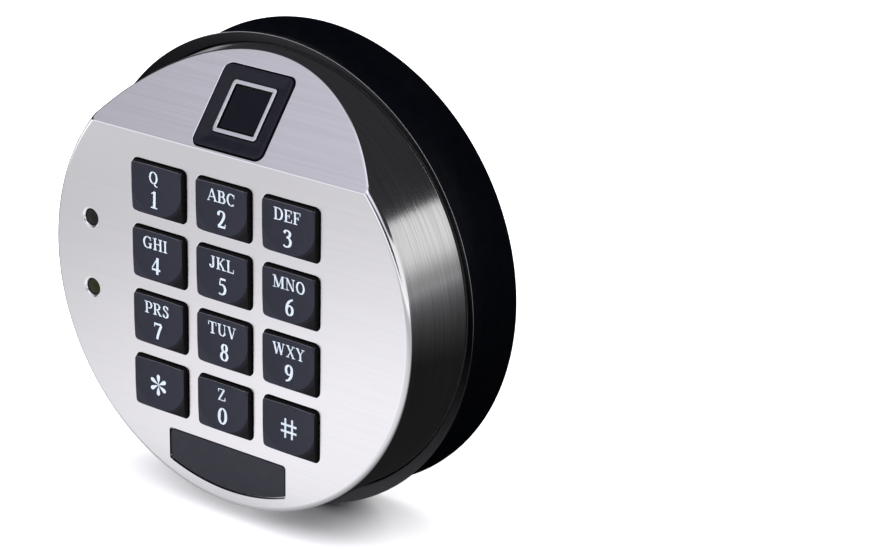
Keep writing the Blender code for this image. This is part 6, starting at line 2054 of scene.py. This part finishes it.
def build_world():
    """A dark room with four bright parts, and white behind the unit for the camera."""
    world = bpy.data.worlds.new("studio")
    bpy.context.scene.world = world
    world.use_nodes = True
    tree = world.node_tree
    back = tree.nodes["Background"]
    direction = node(tree, "ShaderNodeTexCoord").outputs["Generated"]

    def lobe(toward, start, full, low, high):
        """Brightness that rises towards one direction."""
        near = vector_maths(tree, "DOT_PRODUCT", direction, Vector(toward).normalized(), "Value")
        return mapped(tree, near, start, full, low, high)

    rise = split(tree, direction)["Z"]
    horizon = times(tree, lobe((-0.4, -0.92, 0.0), 0.84, 0.95, 0.0, 1.0), mapped(tree, rise, 0.36, 0.20, 0.0, 0.9))
    overhead = lobe((0.25, 0.05, 1.0), 0.94, 0.965, 0.0, 1.0)
    front = lobe((0.43, -0.63, 0.62), 0.90, 0.96, 0.0, 1.0)
    glow = lobe((-0.20, -0.60, 0.75), 0.70, 0.98, 0.036, 1.03)
    for part in (horizon, overhead, front):
        glow = plus(tree, glow, part)
    seen = node(tree, "ShaderNodeLightPath").outputs["Is Camera Ray"]
    wired(tree, back, {"Strength": between(tree, seen, glow, 1.12), "Color": colour((0.90, 0.895, 1.0))})


# Each light: its name, kind, place and its values. All of them point at the unit.
LIGHTS = (
    ("soft_left", "AREA", (-0.75, -0.28, 0.12), {"shape": "RECTANGLE", "size": 0.5, "size_y": 0.28, "energy": 12.0}),
    ("soft_top", "SUN", (0.1, -0.1, 1.0), {"angle": radians(100), "energy": 3.6}),
    ("soft_back", "AREA", (0.5, 1.2, 0.7), {"size": 0.8, "energy": 25.0}),
)


def build_lights():
    for name, kind, place, values in LIGHTS:
        light = bpy.data.lights.new(name, kind)
        for key, value in values.items():
            setattr(light, key, value)
        lamp = bpy.data.objects.new(name, light)
        lamp.location = place
        lamp.rotation_mode = "QUATERNION"
        lamp.rotation_quaternion = (-Vector(place)).to_track_quat("-Z", "Y")
        lamp.visible_glossy = False
        bpy.context.scene.collection.objects.link(lamp)


# Heights of the bright strip's rows, and how strongly each of them shines at the right.
STRIP_ROWS = ((-0.05, 0.28), (0.0, 0.28), (0.05, 0.40), (0.13, 0.70), (0.20, 0.78), (0.42, 0.78), (0.435, 0.04))
STRIP_COLUMNS = 24


def build_strip():
    """A bright band low behind the unit on the right, seen only in the metal. It is even towards the front."""
    verts = []
    glow = []
    for rise, strength in STRIP_ROWS:
        for column in range(STRIP_COLUMNS + 1):
            turn = radians(-50 + 135 * column / STRIP_COLUMNS)
            verts.append((cos(turn), sin(turn), rise))
            ahead = 0.95 if rise < 0.43 else 0.45
            glow.append(ahead if turn < radians(10) else strength)
    faces = []
    for row in range(len(STRIP_ROWS) - 1):
        for column in range(STRIP_COLUMNS):
            low = row * (STRIP_COLUMNS + 1) + column
            high = low + STRIP_COLUMNS + 1
            faces.append((low, low + 1, high + 1, high))
    strip = scene_object("horizon_strip", drawn_mesh("horizon_strip", verts, faces=faces))
    marked(strip.data, "glow", "POINT", glow)
    strip.data.materials.append(finish("strip_light"))
    strip.visible_camera = False
    strip.visible_shadow = False
    strip.visible_diffuse = False


def build_camera():
    stage = settings().stage
    scene = bpy.context.scene
    right = Vector(stage.camera_right).normalized()
    forward = Vector(stage.camera_forward).normalized()
    up = right.cross(forward)
    forward = up.cross(right)
    lens = bpy.data.cameras.new("camera")
    lens.lens = stage.lens
    lens.sensor_width = 36.0
    camera = bpy.data.objects.new("camera", lens)
    turn = Matrix((right, up, -forward)).transposed().to_4x4()
    camera.matrix_world = Matrix.Translation(stage.camera) @ turn
    scene.collection.objects.link(camera)
    scene.camera = camera
    scene.view_settings.view_transform = "Standard"


def build_stage():
    build_floor()
    build_world()
    build_lights()
    build_strip()
    build_camera()


# Add-on


class ENTRY_UNIT_OT_housing(bpy.types.Operator):
    """Builds the brushed metal housing."""

    bl_idname = "entry_unit.build_housing"
    bl_label = "Front housing"

    def execute(self, context):
        build_housing()
        return {"FINISHED"}


class ENTRY_UNIT_OT_inlay(bpy.types.Operator):
    """Builds the black plate under the keys."""

    bl_idname = "entry_unit.build_inlay"
    bl_label = "Inlay"

    def execute(self, context):
        build_inlay()
        return {"FINISHED"}


class ENTRY_UNIT_OT_keys(bpy.types.Operator):
    """Builds the twelve key caps."""

    bl_idname = "entry_unit.build_keys"
    bl_label = "Key caps"

    def execute(self, context):
        build_keys()
        return {"FINISHED"}


class ENTRY_UNIT_OT_legends(bpy.types.Operator):
    """Prints the signs on the key caps."""

    bl_idname = "entry_unit.build_legends"
    bl_label = "Legends"

    def execute(self, context):
        build_legends()
        return {"FINISHED"}


class ENTRY_UNIT_OT_reader(bpy.types.Operator):
    """Builds the fingerprint reader."""

    bl_idname = "entry_unit.build_reader"
    bl_label = "Reader"

    def execute(self, context):
        build_reader()
        return {"FINISHED"}


class ENTRY_UNIT_OT_base(bpy.types.Operator):
    """Builds the black base ring."""

    bl_idname = "entry_unit.build_base"
    bl_label = "Base ring"

    def execute(self, context):
        build_base()
        return {"FINISHED"}


class ENTRY_UNIT_OT_lamps(bpy.types.Operator):
    """Builds the two lamp lenses."""

    bl_idname = "entry_unit.build_lamps"
    bl_label = "Lamps"

    def execute(self, context):
        build_lamps()
        return {"FINISHED"}


class ENTRY_UNIT_OT_back_plate(bpy.types.Operator):
    """Builds the back plate, the cable bush and the seal."""

    bl_idname = "entry_unit.build_back_plate"
    bl_label = "Back plate"

    def execute(self, context):
        build_back_plate()
        return {"FINISHED"}


class ENTRY_UNIT_OT_board(bpy.types.Operator):
    """Builds the boards, the key mat and what they carry."""

    bl_idname = "entry_unit.build_board"
    bl_label = "Boards"

    def execute(self, context):
        build_board()
        return {"FINISHED"}


class ENTRY_UNIT_OT_battery(bpy.types.Operator):
    """Builds the battery, its clip, its cushion and its leads."""

    bl_idname = "entry_unit.build_battery"
    bl_label = "Battery"

    def execute(self, context):
        build_battery()
        return {"FINISHED"}


class ENTRY_UNIT_OT_fasteners(bpy.types.Operator):
    """Places all the screws."""

    bl_idname = "entry_unit.build_fasteners"
    bl_label = "Screws"

    def execute(self, context):
        build_fasteners()
        return {"FINISHED"}


class ENTRY_UNIT_OT_stage(bpy.types.Operator):
    """Sets the floor, the light and the camera."""

    bl_idname = "entry_unit.build_stage"
    bl_label = "Stage"

    def execute(self, context):
        build_stage()
        return {"FINISHED"}


OPERATORS = (
    ENTRY_UNIT_OT_housing,
    ENTRY_UNIT_OT_inlay,
    ENTRY_UNIT_OT_keys,
    ENTRY_UNIT_OT_legends,
    ENTRY_UNIT_OT_reader,
    ENTRY_UNIT_OT_base,
    ENTRY_UNIT_OT_lamps,
    ENTRY_UNIT_OT_back_plate,
    ENTRY_UNIT_OT_board,
    ENTRY_UNIT_OT_battery,
    ENTRY_UNIT_OT_fasteners,
    ENTRY_UNIT_OT_stage,
)


class ENTRY_UNIT_PT_panel(bpy.types.Panel):
    """Lists the steps that build the unit."""

    bl_idname = "ENTRY_UNIT_PT_panel"
    bl_label = "Entry Unit"
    bl_space_type = "VIEW_3D"
    bl_region_type = "UI"
    bl_category = "Entry Unit"

    def draw(self, context):
        for made in OPERATORS:
            self.layout.operator(made.bl_idname)


CLASSES = (*PROPERTY_GROUPS, EntryUnitSettings, *OPERATORS, ENTRY_UNIT_PT_panel)


def register():
    for made in CLASSES:
        bpy.utils.register_class(made)
    bpy.types.Scene.entry_unit = bpy.props.PointerProperty(type=EntryUnitSettings)


def unregister():
    del bpy.types.Scene.entry_unit
    for made in reversed(CLASSES):
        bpy.utils.unregister_class(made)


def main():
    register()
    bpy.ops.entry_unit.build_housing()
    bpy.ops.entry_unit.build_inlay()
    bpy.ops.entry_unit.build_keys()
    bpy.ops.entry_unit.build_legends()
    bpy.ops.entry_unit.build_reader()
    bpy.ops.entry_unit.build_base()
    bpy.ops.entry_unit.build_lamps()
    bpy.ops.entry_unit.build_back_plate()
    bpy.ops.entry_unit.build_board()
    bpy.ops.entry_unit.build_battery()
    bpy.ops.entry_unit.build_fasteners()
    bpy.ops.entry_unit.build_stage()


if __name__ == "__main__":
    main()
